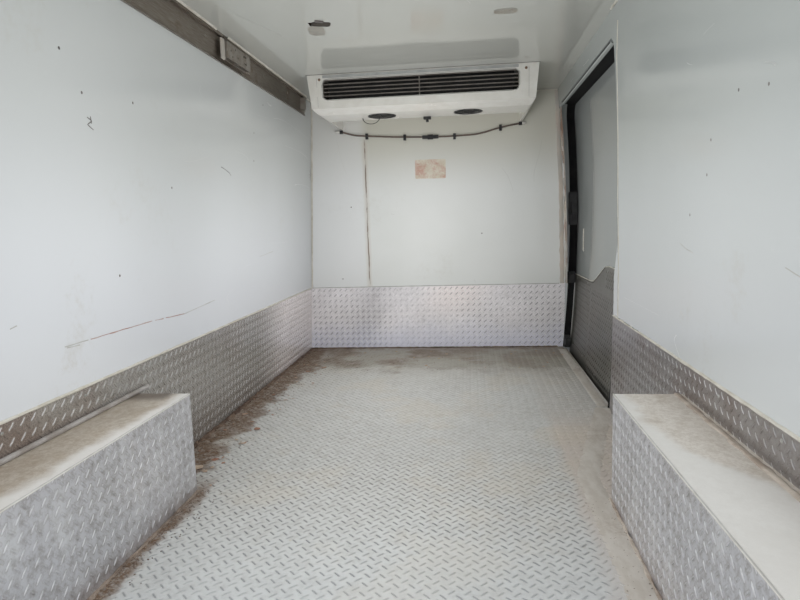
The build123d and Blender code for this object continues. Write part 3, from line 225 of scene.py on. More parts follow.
class Graph:
    """A material's or a node group's nodes, with short calls that add and link them."""

    def __init__(self, tree: bpy.types.NodeTree) -> None:
        """Keeps the tree that the calls add to."""
        self.tree = tree

    def node(self, kind: str, inputs: dict[str | int, Any] | None = None, **settings: Any) -> bpy.types.Node:
        """Adds a node.

        Args:
            kind: the node's type name.
            inputs: a value or a socket for each input, by its name or number.
            settings: the node's own settings.

        Returns:
            The new node.
        """
        made = self.tree.nodes.new(kind)
        for name, value in settings.items():
            setattr(made, name, value)
        for key, value in (inputs or {}).items():
            self.feed(made.inputs[key], value)
        return made

    def feed(self, target: Socket, value: Any) -> None:
        """Links a socket to an input, or sets its plain value.

        Args:
            target: the input.
            value: a socket, a number, a colour or a vector.
        """
        if isinstance(value, bpy.types.NodeSocket):
            self.tree.links.new(value, target)
        elif isinstance(value, tuple) and len(value) == 3 and target.type == "RGBA":
            target.default_value = (*value, 1.0)
        else:
            target.default_value = value

    def math(self, operation: str, *values: Any, clamp: bool = False) -> Socket:
        """Adds a Math node.

        Args:
            operation: what it does.
            values: sockets or numbers.
            clamp: whether the result is held from 0 to 1.

        Returns:
            Its result.
        """
        made = self.node("ShaderNodeMath", operation=operation, use_clamp=clamp)
        for index, value in enumerate(values):
            self.feed(made.inputs[index], value)
        return made.outputs[0]

    def times(self, first: Any, second: Any, clamp: bool = False) -> Socket:
        """Returns the product of two values, held from 0 to 1 on request."""
        return self.math("MULTIPLY", first, second, clamp=clamp)

    def plus(self, first: Any, second: Any, clamp: bool = False) -> Socket:
        """Returns the sum of two values, held from 0 to 1 on request."""
        return self.math("ADD", first, second, clamp=clamp)

    def minus(self, first: Any, second: Any) -> Socket:
        """Returns the first value less the second."""
        return self.math("SUBTRACT", first, second)

    def most(self, first: Any, second: Any) -> Socket:
        """Returns the larger of two values."""
        return self.math("MAXIMUM", first, second)

    def mix(self, factor: Any, first: Any, second: Any) -> Socket:
        """Returns a mix of two colours.

        Args:
            factor: the second colour's share, a number or a socket.
            first: the colour at 0.
            second: the colour at 1.

        Returns:
            The mixed colour.
        """
        made = self.node("ShaderNodeMix", data_type="RGBA", blend_type="MIX")
        self.feed(made.inputs[0], factor)
        self.feed(made.inputs[6], first)
        self.feed(made.inputs[7], second)
        return made.outputs[2]

    def ramp(self, value: Any, low: Any, high: Any, to_low: float = 0.0, to_high: float = 1.0) -> Socket:
        """Carries a value smoothly from one range to another, and holds it past the ends.

        Args:
            value: the value, a number or a socket.
            low: the first range's start.
            high: its end.
            to_low: the second range's start.
            to_high: its end.

        Returns:
            The carried value.
        """
        made = self.node("ShaderNodeMapRange", interpolation_type="SMOOTHSTEP")
        for index, number in enumerate((value, low, high, to_low, to_high)):
            self.feed(made.inputs[index], number)
        return made.outputs[0]

    def noise(self, vector: Any, scale: Any, detail: float = 4.0, rough: float = 0.55) -> Socket:
        """Returns a noise value about one half, at a scale with its detail and roughness."""
        made = self.node("ShaderNodeTexNoise", {"Vector": vector, "Scale": scale, "Detail": detail, "Roughness": rough})
        return made.outputs["Fac"]

    def place(self) -> Socket:
        """Returns the Object coordinates."""
        return self.node("ShaderNodeTexCoord").outputs["Object"]

    def split(self, vector: Any) -> dict[Axis, Socket]:
        """Returns the three parts of a vector."""
        made = self.node("ShaderNodeSeparateXYZ", {0: vector})
        return {axis: made.outputs[axis.value] for axis in Axis}

    def stretch(self, vector: Any, scale: Place, turn: Place = (0.0, 0.0, 0.0),
                shift: Place = (0.0, 0.0, 0.0)) -> Socket:
        """Scales, turns and shifts a vector by a Mapping node.

        Args:
            vector: the vector.
            scale: its scale on each axis.
            turn: its turn, in radians.
            shift: its shift, in metres.

        Returns:
            The new vector.
        """
        made = self.node("ShaderNodeMapping", {"Vector": vector})
        made.inputs["Scale"].default_value = scale
        made.inputs["Rotation"].default_value = turn
        made.inputs["Location"].default_value = shift
        return made.outputs[0]

    def span(self, value: Any, low: float, high: float, soft: float) -> Socket:
        """Masks a range.

        Args:
            value: the value, a socket.
            low: where the range starts.
            high: where it ends.
            soft: how far each end reaches to both sides.

        Returns:
            One inside the range and nothing outside it.
        """
        rise = self.ramp(value, low - soft, low + soft)
        fall = self.ramp(value, high - soft, high + soft, 1.0, 0.0)
        return self.times(rise, fall)

    def bump(self, height: Any, distance: float, strength: float = 1.0, under: Any = None) -> Socket:
        """Adds a Bump node.

        Args:
            height: the height, a socket.
            distance: how high one is, in metres.
            strength: how much of it shows.
            under: the normal of a bump under this one.

        Returns:
            The normal.
        """
        made = self.node("ShaderNodeBump", {"Height": height, "Distance": distance, "Strength": strength})
        if under is not None:
            self.feed(made.inputs["Normal"], under)
        return made.outputs[0]

    def group(self, name: str, **inputs: Any) -> bpy.types.Node:
        """Places a shared effect.

        Args:
            name: the node group's name.
            inputs: its inputs, with underscores for the spaces in their names.

        Returns:
            The group's node.
        """
        made = self.node("ShaderNodeGroup", node_tree=bpy.data.node_groups[name])
        for key, value in inputs.items():
            self.feed(made.inputs[key.replace("_", " ")], value)
        return made


class SharedEffects:
    """The node groups that more than one finish uses."""

    GRIME = "grime"
    SCUFFS = "scuffs"
    LUG_FIELD = "lug_field"

    def build(self) -> None:
        """Makes every group once."""
        self.grime()
        self.scuffs()
        self.lug_field()

    @staticmethod
    def start(name: str, inputs: Sequence[tuple[str, str, float]], outputs: Sequence[str]) -> tuple[Graph, Any, Any]:
        """Opens a group with its sockets.

        Args:
            name: the group's name.
            inputs: each input's name, socket type and plain value.
            outputs: the names of its float outputs.

        Returns:
            The group's graph, its input node and its output node.
        """
        tree = bpy.data.node_groups.new(name, "ShaderNodeTree")
        for label, kind, value in inputs:
            made = tree.interface.new_socket(label, in_out="INPUT", socket_type=kind)
            if kind == "NodeSocketFloat":
                made.default_value = value
        for label in outputs:
            tree.interface.new_socket(label, in_out="OUTPUT", socket_type="NodeSocketFloat")
        graph = Graph(tree)
        return graph, graph.node("NodeGroupInput"), graph.node("NodeGroupOutput")

    def grime(self) -> None:
        """Cloudy dirt: large patches broken up by fine grain."""
        graph, given, out = self.start(self.GRIME, (("Vector", "NodeSocketVector", 0.0),
                                                    ("Patch Scale", "NodeSocketFloat", 3.0),
                                                    ("Grain Scale", "NodeSocketFloat", 60.0),
                                                    ("Amount", "NodeSocketFloat", 0.5)), ("Mask", "Grain"))
        patch = graph.noise(given.outputs[0], given.outputs[1], 5.0, 0.6)
        grain = graph.noise(given.outputs[0], given.outputs[2], 3.0, 0.7)
        rough_patch = graph.plus(patch, graph.times(graph.minus(grain, 0.5), 0.35))
        level = graph.minus(0.86, graph.times(given.outputs[3], 0.6))
        top = graph.plus(level, 0.22)
        graph.feed(out.inputs[0], graph.ramp(rough_patch, level, top))
        graph.feed(out.inputs[1], grain)

    def scuffs(self) -> None:
        """Thin scattered scratches: stretched noise kept only at its crossing line."""
        graph, given, out = self.start(self.SCUFFS, (("Vector", "NodeSocketVector", 0.0),
                                                     ("Scale", "NodeSocketFloat", 4.0),
                                                     ("Width", "NodeSocketFloat", 0.004),
                                                     ("Share", "NodeSocketFloat", 0.3)), ("Mask",))
        warp = graph.noise(given.outputs[0], given.outputs[1], 1.0, 0.3)
        line = graph.math("ABSOLUTE", graph.minus(warp, 0.5))
        thin = graph.node("ShaderNodeMapRange", {0: line, 1: 0.0, 2: given.outputs[2], 3: 1.0, 4: 0.0}).outputs[0]
        where_scale = graph.times(given.outputs[1], 1.7)
        shifted = graph.stretch(given.outputs[0], (1.0, 1.0, 1.0), shift=(7.3, 2.1, 4.9))
        where = graph.noise(shifted, where_scale, 2.0, 0.5)
        limit = graph.minus(0.75, graph.times(given.outputs[3], 0.4))
        kept = graph.math("GREATER_THAN", where, limit)
        graph.feed(out.inputs[0], graph.times(thin, kept))

    def lug_field(self) -> None:
        """Masks of a tread plate's rising lugs, of its falling lugs and of the dirt and painted shade round both."""
        graph, given, out = self.start(self.LUG_FIELD, (("U", "NodeSocketFloat", 0.0), ("V", "NodeSocketFloat", 0.0)),
                                       ("Rise", "Fall", "Rim"))
        pitch, half = LugPattern.pitch, LugPattern.length / 2
        width = LugPattern.width
        reaches = []
        for number, (shift, lean) in enumerate(((0.0, 1.0), (0.5, -1.0))):
            parts = []
            for source in (given.outputs[0], given.outputs[1]):
                cell = graph.plus(graph.math("DIVIDE", source, pitch), 0.5 - shift)
                parts.append(graph.times(graph.minus(graph.math("FRACT", cell), 0.5), pitch))
            u, v = parts
            leaned = graph.times(v, lean)
            along = graph.times(graph.plus(u, leaned), math.sqrt(0.5))
            beside = graph.times(graph.minus(u, leaned), math.sqrt(0.5))
            past = graph.most(graph.minus(graph.math("ABSOLUTE", along), half * 0.8), 0.0)
            reach = graph.math("SQRT", graph.plus(graph.times(past, past),
                                                  graph.times(beside, beside)))
            graph.feed(out.inputs[number], graph.ramp(reach, width * 0.3, width * 0.55, 1.0, 0.0))
            reaches.append(reach)
        nearest = graph.math("MINIMUM", *reaches)
        graph.feed(out.inputs[2], graph.span(nearest, width * 0.45, width * 0.95, width * 0.2))


@dataclass(frozen=True)
class LugPattern:
    """One cell of the tread plate: two crossed lugs half a cell apart.

    A lug's flanks are straight for the flank's share of its length, and its top is the top_share of its foot.
    """

    pitch: float = 0.0360
    length: float = 0.0222
    width: float = 0.0048
    height: float = 0.0014
    flank: float = 0.45
    top_share: float = 0.62


class Tints:
    """The colours of dirt, wear, painted light, painted shade and painted reflections that the finishes mix in."""

    shadow_green = (0.22, 0.25, 0.235)
    hollow_shade = (0.02, 0.018, 0.016)
    hollow_rust = (0.16, 0.11, 0.09)
    lining_cloud = (0.50, 0.53, 0.50)
    lining_film = (0.46, 0.42, 0.35)
    lining_scuff = (0.22, 0.21, 0.20)
    pale_rub = (0.74, 0.75, 0.74)
    bulkhead_cloud = (0.52, 0.55, 0.50)
    bulkhead_film = (0.45, 0.40, 0.32)
    upper_reflection = (0.57, 0.55, 0.46)
    left_panel = (0.80, 0.81, 0.83)
    seam_halo = (0.55, 0.47, 0.36)
    seam_stain = (0.17, 0.115, 0.075)
    bulkhead_scuff = (0.25, 0.22, 0.20)
    dull_metal = (0.4, 0.4, 0.4)
    brown_stain = (0.22, 0.16, 0.135)
    bright_cloud = (0.93, 0.94, 0.97)
    dark_cloud = (0.30, 0.27, 0.25)
    clean_plate = (0.97, 0.91, 0.92)
    plate_grime = (0.36, 0.33, 0.29)
    fine_grime = (0.30, 0.27, 0.24)
    beige_dust = (0.56, 0.49, 0.435)
    tan_dust = (0.60, 0.54, 0.45)
    far_olive = (0.44, 0.425, 0.36)
    tide_olive = (0.28, 0.255, 0.205)
    near_cool_light = (0.60, 0.635, 0.665)
    left_box_top = (0.62, 0.56, 0.475)
    right_box_top = (0.87, 0.815, 0.745)
    top_streak = (0.36, 0.28, 0.20)
    top_blotch = (0.40, 0.31, 0.215)
    top_rub = (0.90, 0.89, 0.87)
    top_end = (0.12, 0.09, 0.075)
    dark_slant_band = (0.30, 0.29, 0.31)
    warm_middle_reflection = (1.0, 0.90, 0.87)
    cool_foot_reflection = (0.74, 0.77, 0.93)
    lens_dust = (0.35, 0.32, 0.28)
    floor_cloud = (0.70, 0.70, 0.69)


@dataclass(frozen=True)
class Finish:
    """A finish: its name and how its nodes are wired."""

    name: str

    def material(self) -> bpy.types.Material:
        """Finds the finish's material, or makes it on its first use.

        Returns:
            The material.
        """
        known = bpy.data.materials.get(self.name)
        if known is not None:
            return known
        made = bpy.data.materials.new(self.name)
        made.use_nodes = True
        graph = Graph(made.node_tree)
        shader = made.node_tree.nodes["Principled BSDF"]
        self.wire(graph, shader)
        return made

    def wire(self, graph: Graph, shader: bpy.types.Node) -> None:
        """Feeds the shader; each kind of finish does this its own way.

        Args:
            graph: the material's nodes.
            shader: its Principled BSDF.
        """
        raise NotImplementedError


@dataclass(frozen=True)
class LiningFinish(Finish):
    """Glossy laminate lining on the inside, and painted sheet on the outside."""

    lining: Colour = (0.60, 0.625, 0.615)
    paint: Colour = (0.80, 0.81, 0.80)
    split_axis: Axis | None = Axis.X
    split_at: float = LINING_EDGE_X
    both_sides: bool = True
    scuff_share: float = 0.35
    # Painted light: the colour and share with which the lining is painted lighter and cooler towards the floor.
    cool_light: Colour = (0.62, 0.64, 0.675)
    cool_light_share: float = 0.6
    top_shade: float = 0.0
    hollow_top: float = 0.0
    gloss: float = 0.15

    def wire(self, graph: Graph, shader: bpy.types.Node) -> None:
        """Mixes lining and paint by place, with grime, scuffs and slow waves in the gloss, painted light that lightens
        the lower walls, and painted shade towards the ceiling and in the roof's lamp holes.

        Args:
            graph: the material's nodes.
            shader: its Principled BSDF.
        """
        place = graph.place()
        parts = graph.split(place)
        x, y, z = parts.values()
        outside: Any = 0.0
        if self.split_axis is not None:
            value = parts[self.split_axis]
            if self.both_sides:
                value = graph.math("ABSOLUTE", value)
            outside = graph.math("GREATER_THAN", value, self.split_at)
        grime = graph.group(SharedEffects.GRIME, Vector=place, Patch_Scale=2.3, Grain_Scale=38.0, Amount=0.42)
        low_dirt = graph.ramp(z, FLOOR_Z + 0.35, FLOOR_Z + 0.9, 0.22, 0.0)
        film = graph.times(grime.outputs["Mask"], graph.plus(low_dirt, 0.22), clamp=True)
        # Painted light: the lining is painted lighter and cooler towards the floor.
        foot = graph.ramp(z, 0.75, 1.40, self.cool_light_share, 0.0)
        inner = graph.mix(foot, self.lining, self.cool_light)
        shade = graph.ramp(z, 0.95, 1.75, 0.0, self.top_shade)
        inner = graph.mix(shade, inner, Tints.shadow_green)
        # Painted shade, partly rust: the walls of the lamp holes in the roof are painted near black, broken with rusty
        # brown.
        if self.hollow_top > 0.0:
            holes = graph.math("LESS_THAN", graph.math("ABSOLUTE", x), 0.5)
            holes = graph.times(holes, graph.math("LESS_THAN", z, self.hollow_top))
            holes = graph.times(holes, graph.math("LESS_THAN", graph.math("ABSOLUTE", y), 1.0))
            holes = graph.times(holes, outside)
            outside = graph.minus(outside, holes)
            rust = graph.mix(graph.ramp(graph.noise(place, 60.0), 0.4, 0.6), Tints.hollow_shade, Tints.hollow_rust)
            inner = graph.mix(holes, inner, rust)
        base = graph.mix(outside, inner, self.paint)
        tone = graph.noise(place, 1.1, 2.0)
        base = graph.mix(graph.ramp(tone, 0.35, 0.7, 0.0, 0.10), base, Tints.lining_cloud)
        base = graph.mix(film, base, Tints.lining_film)
        long_run = graph.stretch(place, (1.0, 0.35, 2.2), turn=(0.5, 0.2, 0.3))
        scuffs = graph.group(SharedEffects.SCUFFS, Vector=long_run, Scale=2.6, Width=0.0022, Share=self.scuff_share)
        rubs = graph.group(SharedEffects.SCUFFS, Vector=graph.stretch(place, (0.6, 1.0, 3.0), turn=(0.1, 0.6, 0.0)),
                           Scale=5.0, Width=0.004, Share=self.scuff_share * 0.7)
        base = graph.mix(graph.times(scuffs.outputs[0], 0.25), base, Tints.lining_scuff)
        base = graph.mix(graph.times(rubs.outputs[0], 0.10), base, Tints.pale_rub)
        graph.feed(shader.inputs["Base Color"], base)
        rough = graph.plus(self.gloss, graph.times(grime.outputs["Mask"], 0.12))
        rough = graph.plus(rough, graph.times(scuffs.outputs[0], 0.25))
        graph.feed(shader.inputs["Roughness"], graph.plus(rough, graph.times(outside, 0.08)))
        waves = graph.noise(graph.stretch(place, (1.0, 1.0, 0.5)), 3.4, 1.0, 0.4)
        peel = graph.noise(place, 240.0, 1.0, 0.4)
        gloss = graph.bump(waves, 0.004, 0.5)
        graph.feed(shader.inputs["Normal"], graph.bump(peel, 0.0002, 0.25, gloss))
        shader.inputs["Specular IOR Level"].default_value = 0.5


@dataclass(frozen=True)
class BulkheadFinish(Finish):
    """The bulkhead's lining, with a rusty stain run down the seam."""

    seam_x: float = -0.418
    lining: Colour = (0.775, 0.79, 0.78)

    def wire(self, graph: Graph, shader: bpy.types.Node) -> None:
        """Adds the seam's stain and drips to the lining, and a painted reflection that darkens and warms its upper
        part.

        Args:
            graph: the material's nodes.
            shader: its Principled BSDF.
        """
        place = graph.place()
        x, y, z = graph.split(place).values()
        grime = graph.group(SharedEffects.GRIME, Vector=place, Patch_Scale=2.0, Grain_Scale=34.0, Amount=0.45)
        tone = graph.noise(place, 1.6, 3.0)
        base = graph.mix(graph.ramp(tone, 0.35, 0.7, 0.0, 0.14), self.lining, Tints.bulkhead_cloud)
        base = graph.mix(graph.times(grime.outputs["Mask"], 0.16), base, Tints.bulkhead_film)
        wander = graph.times(graph.minus(graph.noise(place, 9.0, 3.0), 0.5), 0.012)
        off = graph.math("ABSOLUTE", graph.minus(graph.minus(x, self.seam_x), wander))
        broken = graph.ramp(graph.noise(graph.stretch(place, (8.0, 8.0, 1.0)), 7.0, 4.0, 0.7), 0.40, 0.56)
        # Painted reflection: the upper bulkhead is painted darker and warmer.
        warm_reflection = graph.ramp(z, 1.15, 1.60, 0.0, 0.75)
        base = graph.mix(warm_reflection, base, Tints.upper_reflection)
        base = graph.mix(graph.ramp(x, -0.47, -0.38, 0.5, 0.0), base, Tints.left_panel)
        reach = graph.span(z, FLOOR_Z + 0.36, CEILING_Z - 0.26, 0.03)
        reach = graph.times(reach, graph.math("LESS_THAN", y, FRONT_Y + 0.02))
        stain = graph.times(graph.ramp(off, 0.0012, 0.0065, 1.0, 0.0), broken)
        stain = graph.times(stain, reach)
        halo = graph.times(graph.ramp(off, 0.003, 0.026, 0.28, 0.0), reach)
        base = graph.mix(halo, base, Tints.seam_halo)
        base = graph.mix(graph.times(stain, 0.9), base, Tints.seam_stain)
        scuffs = graph.group(SharedEffects.SCUFFS, Vector=graph.stretch(place, (1.0, 1.0, 0.5), turn=(0.0, 0.5, 0.0)),
                             Scale=3.2, Width=0.002, Share=0.4)
        base = graph.mix(graph.times(scuffs.outputs[0], 0.3), base, Tints.bulkhead_scuff)
        graph.feed(shader.inputs["Base Color"], base)
        graph.feed(shader.inputs["Roughness"], graph.plus(0.11, graph.times(stain, 0.4)))
        waves = graph.noise(place, 3.0, 1.0, 0.4)
        graph.feed(shader.inputs["Normal"], graph.bump(waves, 0.005, 0.5))


@dataclass(frozen=True)
class TreadFinish(Finish):
    """Aluminium tread plate with dirt and painted shade round its lugs, painted light and shade on the lugs, and
    patches of grime.
    """

    across: Axis = Axis.X
    along: Axis = Axis.Y
    metal: Colour = (0.63, 0.635, 0.64)
    dirt: Colour = (0.20, 0.17, 0.14)
    rim_dirt_and_shade_share: float = 0.55
    grime_share: float = 0.4
    metallic: float = 0.75
    roughness: float = 0.42
    stain: Colour = (0.135, 0.10, 0.075)
    # The tones that the rising and the falling lugs are painted: painted light and shade, by the way each lean faces
    # the light.
    rise: Colour = (0.92, 0.92, 0.95)
    rise_light_shade_share: float = 0.75
    fall: Colour = (0.16, 0.15, 0.14)
    fall_light_shade_share: float = 0.22
    mottle_share: float = 0.45
    clean_from_y: float = 9.0
    brown_share: float = 0.0
    brown_front: float = 1.0
    far_lugs: float = 1.0
    lugs_fade: tuple[float, float] = (0.2, 1.2)
    cloud_share: float = 0.0
    is_floor: bool = False
    glints: bool = False
    smooth_top_z: float = 9.0

    def wire(self, graph: Graph, shader: bpy.types.Node) -> None:
        """Builds worn metal with lug-shaped dirt and painted shade, painted light and shade on the lugs, stains and
        greyer patches.

        Args:
            graph: the material's nodes.
            shader: its Principled BSDF.
        """
        place = graph.place()
        parts = graph.split(place)
        x, y, z = parts.values()
        field_node = graph.group(SharedEffects.LUG_FIELD, U=parts[self.across], V=parts[self.along])
        grime = graph.group(SharedEffects.GRIME, Vector=place, Patch_Scale=2.2, Grain_Scale=90.0,
                            Amount=self.grime_share)
        fine = graph.group(SharedEffects.GRIME, Vector=place, Patch_Scale=14.0, Grain_Scale=220.0, Amount=0.5)
        tone = graph.noise(place, 5.0, 5.0, 0.65)
        base = graph.mix(graph.ramp(tone, 0.3, 0.7), graph.mix(0.18, self.metal, Tints.dull_metal), self.metal)
        mottle = graph.ramp(graph.noise(place, 55.0, 4.0, 0.7), 0.40, 0.72, 0.0, self.mottle_share)
        base = graph.mix(mottle, base, self.dirt)
        brown = graph.ramp(graph.noise(place, 3.2, 4.0, 0.6), 0.38, 0.62, 0.0, self.brown_share)
        brown = graph.times(brown, graph.ramp(y, -0.70, -0.30, 1.0, self.brown_front))
        base = graph.mix(brown, base, Tints.brown_stain)
        cloud = graph.noise(graph.stretch(place, (1.0, 1.0, 0.55), turn=(0.35, 0.0, 0.0)), 9.0, 6.0, 0.68)
        base = graph.mix(graph.ramp(cloud, 0.50, 0.68, 0.0, self.cloud_share), base, Tints.bright_cloud)
        base = graph.mix(graph.ramp(cloud, 0.30, 0.44, self.cloud_share * 0.5, 0.0), base, Tints.dark_cloud)
        clean = graph.ramp(y, self.clean_from_y, self.clean_from_y + 0.55)
        base = graph.mix(graph.times(clean, 0.85), base, Tints.clean_plate)
        patchy = graph.ramp(graph.noise(place, 1.7, 3.0), 0.35, 0.62, 0.75 if self.is_floor else 0.35, 1.0)
        # Dirt and painted shade round the lugs.
        rim = graph.times(field_node.outputs["Rim"], graph.times(patchy, self.rim_dirt_and_shade_share))
        on_top = graph.ramp(z, self.smooth_top_z - 0.004, self.smooth_top_z - 0.002)
        rim = graph.times(rim, graph.minus(1.0, on_top))
        base = graph.mix(rim, base, self.dirt)
        base = graph.mix(graph.times(grime.outputs["Mask"], 0.55), base, Tints.plate_grime)
        base = graph.mix(graph.times(fine.outputs["Mask"], 0.30), base, Tints.fine_grime)
        # Painted reflections on the bulkhead's kick plate.
        if self.glints:
            base = self.band_and_reflections(graph, parts, place, base)
        lugs_show = graph.times(patchy, graph.minus(1.0, on_top))
        lugs_show = graph.times(lugs_show, graph.ramp(y, *self.lugs_fade, 1.0, self.far_lugs))
        # Painted light and shade on the lugs, a tone for each lean.
        for label, share, lug_light_shade in (("Rise", self.rise_light_shade_share, self.rise), ("Fall", self.fall_light_shade_share, self.fall)):
            mask = graph.times(field_node.outputs[label], graph.times(lugs_show, share))
            base = graph.mix(mask, base, lug_light_shade)
        worn = graph.plus(grime.outputs["Mask"], rim, clamp=True)
        if self.is_floor:
            beige = graph.ramp(graph.plus(x, graph.times(graph.noise(place, 8.0, 5.0), 0.10)),
                               0.555, 0.615, 0.0, 0.75)
            beige = graph.times(beige, graph.ramp(y, 0.05, 0.45, 1.0, 0.25))
            base = graph.mix(beige, base, Tints.beige_dust)
            tan = graph.ramp(graph.noise(place, 3.4, 4.0, 0.6), 0.50, 0.66, 0.0, 0.30)
            base = graph.mix(tan, base, Tints.tan_dust)
            base = graph.mix(graph.ramp(y, 0.55, 1.35, 0.0, 0.36), base, Tints.far_olive)
            tide = graph.plus(y, graph.times(graph.noise(place, 4.0, 5.0, 0.65), 0.5))
            tide = graph.times(graph.ramp(tide, 1.39, 1.47, 0.0, 0.62),
                              graph.ramp(graph.noise(place, 2.3, 4.0, 0.6), 0.38, 0.62, 0.6, 1.0))
            base = graph.mix(tide, base, Tints.tide_olive)
            # Painted light: the floor is painted cooler towards the open rear doors.
            base = graph.mix(graph.ramp(y, -1.2, -0.3, 0.5, 0.0), base, Tints.near_cool_light)
            edge, worn = self.floor_dirt(graph, parts, place, worn)
            base = graph.mix(edge, base, self.stain)
        streak = graph.noise(graph.stretch(place, (75.0, 60.0, 1.0)), 1.0, 8.0, 0.8)
        wear = graph.times(graph.ramp(streak, 0.38, 0.62), on_top)
        top_tone = graph.mix(graph.ramp(x, -0.1, 0.1), Tints.left_box_top, Tints.right_box_top)
        base = graph.mix(graph.times(on_top, 0.88), base, top_tone)
        wear = graph.times(wear, graph.ramp(x, -0.1, 0.1, 0.65, 0.36))
        base = graph.mix(wear, base, Tints.top_streak)
        blotch = graph.ramp(graph.noise(place, 7.0, 5.0, 0.7), 0.46, 0.60, 0.0, 0.36)
        base = graph.mix(graph.times(blotch, on_top), base, Tints.top_blotch)
        wander = graph.times(graph.minus(graph.noise(place, 6.0, 3.0), 0.5), 0.10)
        inner = graph.plus(graph.math("ABSOLUTE", x), wander)
        near = graph.ramp(y, -1.20, -0.74, 0.15, 0.0)
        bright_side = graph.ramp(x, -0.1, 0.1, 0.1, 1.0)
        near = graph.times(near, bright_side)
        rub = graph.ramp(graph.minus(inner, near), 0.640, 0.682, 0.80, 0.0)
        base = graph.mix(graph.times(rub, on_top), base, Tints.top_rub)
        far_end = graph.ramp(y, -0.55, -0.49, 0.0, 0.75)
        corner = graph.ramp(x, -0.70, -0.66, 1.0, 0.0)
        far_end = graph.times(graph.times(far_end, corner), on_top)
        base = graph.mix(far_end, base, Tints.top_end)
        graph.feed(shader.inputs["Base Color"], base)
        metal = graph.times(graph.minus(1.0, graph.times(worn, 0.85)), self.metallic)
        metal = graph.times(metal, graph.ramp(on_top, 0.0, 1.0, 1.0, 0.25))
        graph.feed(shader.inputs["Metallic"], metal)
        rough = graph.plus(self.roughness, graph.times(worn, 0.3))
        rough = graph.plus(rough, graph.times(graph.minus(fine.outputs["Grain"], 0.5), 0.2))
        graph.feed(shader.inputs["Roughness"], rough)
        pits = graph.noise(place, 160.0, 3.0, 0.6)
        graph.feed(shader.inputs["Normal"], graph.bump(pits, 0.0005, 0.35))

    def band_and_reflections(self, graph: Graph, parts: dict[Axis, Socket], place: Socket, base: Socket) -> Socket:
        """Adds the bulkhead plate's dark slanting band, and its painted reflections: a pinkish bright middle and a
        bluish pale foot.

        Args:
            graph: the material's nodes.
            parts: the Object coordinates, by axis.
            place: the Object coordinates.
            base: the plate's tone so far.

        Returns:
            The new tone.
        """
        x, z = parts[Axis.X], parts[Axis.Z]
        lean = graph.plus(x, graph.times(z, -0.28))
        lean = graph.plus(lean, graph.times(graph.noise(place, 5.0, 4.0, 0.6), 0.16))
        # A dark slanting band.
        dark_band = graph.times(graph.span(lean, -0.54, -0.40, 0.09), 0.34)
        base = graph.mix(dark_band, base, Tints.dark_slant_band)
        # Painted reflections: a pinkish bright middle and a pale bluish foot.
        warm_reflection = graph.times(graph.span(lean, -0.10, 0.24, 0.14), graph.ramp(z, 0.34, 0.52, 0.0, 0.55))
        base = graph.mix(warm_reflection, base, Tints.warm_middle_reflection)
        cool_light = graph.ramp(graph.plus(z, graph.times(graph.noise(place, 6.0, 4.0), 0.1)),
                          0.26, 0.46, 0.6, 0.0)
        return graph.mix(cool_light, base, Tints.cool_foot_reflection)

    def floor_dirt(self, graph: Graph, parts: dict[Axis, Socket], place: Socket, worn: Socket) -> tuple[Socket, Socket]:
        """Masks the dirt along the floor's left edge, beside the wheel box and at the far end.

        Args:
            graph: the material's nodes.
            parts: the Object coordinates, by axis.
            place: the Object coordinates.
            worn: the mask of worn metal so far.

        Returns:
            The dirt's mask, and the worn mask with it added.
        """
        x, y = parts[Axis.X], parts[Axis.Y]
        breakup = graph.minus(graph.noise(place, 7.5, 8.0, 0.72), 0.5)
        wander = graph.times(breakup, 0.42)
        left = graph.ramp(graph.plus(x, wander), -0.72, -0.64, 1.0, 0.0)
        beside = graph.ramp(graph.plus(x, graph.times(breakup, 0.16)), -0.60, -0.57, 1.0, 0.0)
        beside = graph.times(beside, graph.ramp(y, -0.5, -0.3, 1.0, 0.0))
        lean = graph.times(x, 0.16)
        deep = graph.plus(graph.plus(y, lean), graph.times(breakup, 0.8))
        pools = graph.ramp(graph.noise(place, 3.1, 5.0, 0.6), 0.42, 0.60, 0.10, 0.85)
        pools = graph.times(pools, graph.ramp(x, -0.3, 0.6, 1.0, 0.45))
        far = graph.times(graph.ramp(deep, 0.92, 1.34), pools)
        edge = graph.most(left, graph.most(beside, far))
        edge = graph.most(edge, graph.ramp(graph.plus(y, wander), 1.60, 1.72, 0.0, 0.7))
        mottle = graph.ramp(graph.noise(place, 60.0, 6.0, 0.75), 0.32, 0.60, 0.52, 1.0)
        edge = graph.times(edge, mottle)
        return edge, graph.most(worn, edge)


@dataclass(frozen=True)
class Dust:
    """A film of dust: its colour, how far it spreads and how much it covers."""

    colour: Colour = (0.40, 0.37, 0.32)
    amount: float = 0.4
    strength: float = 0.3


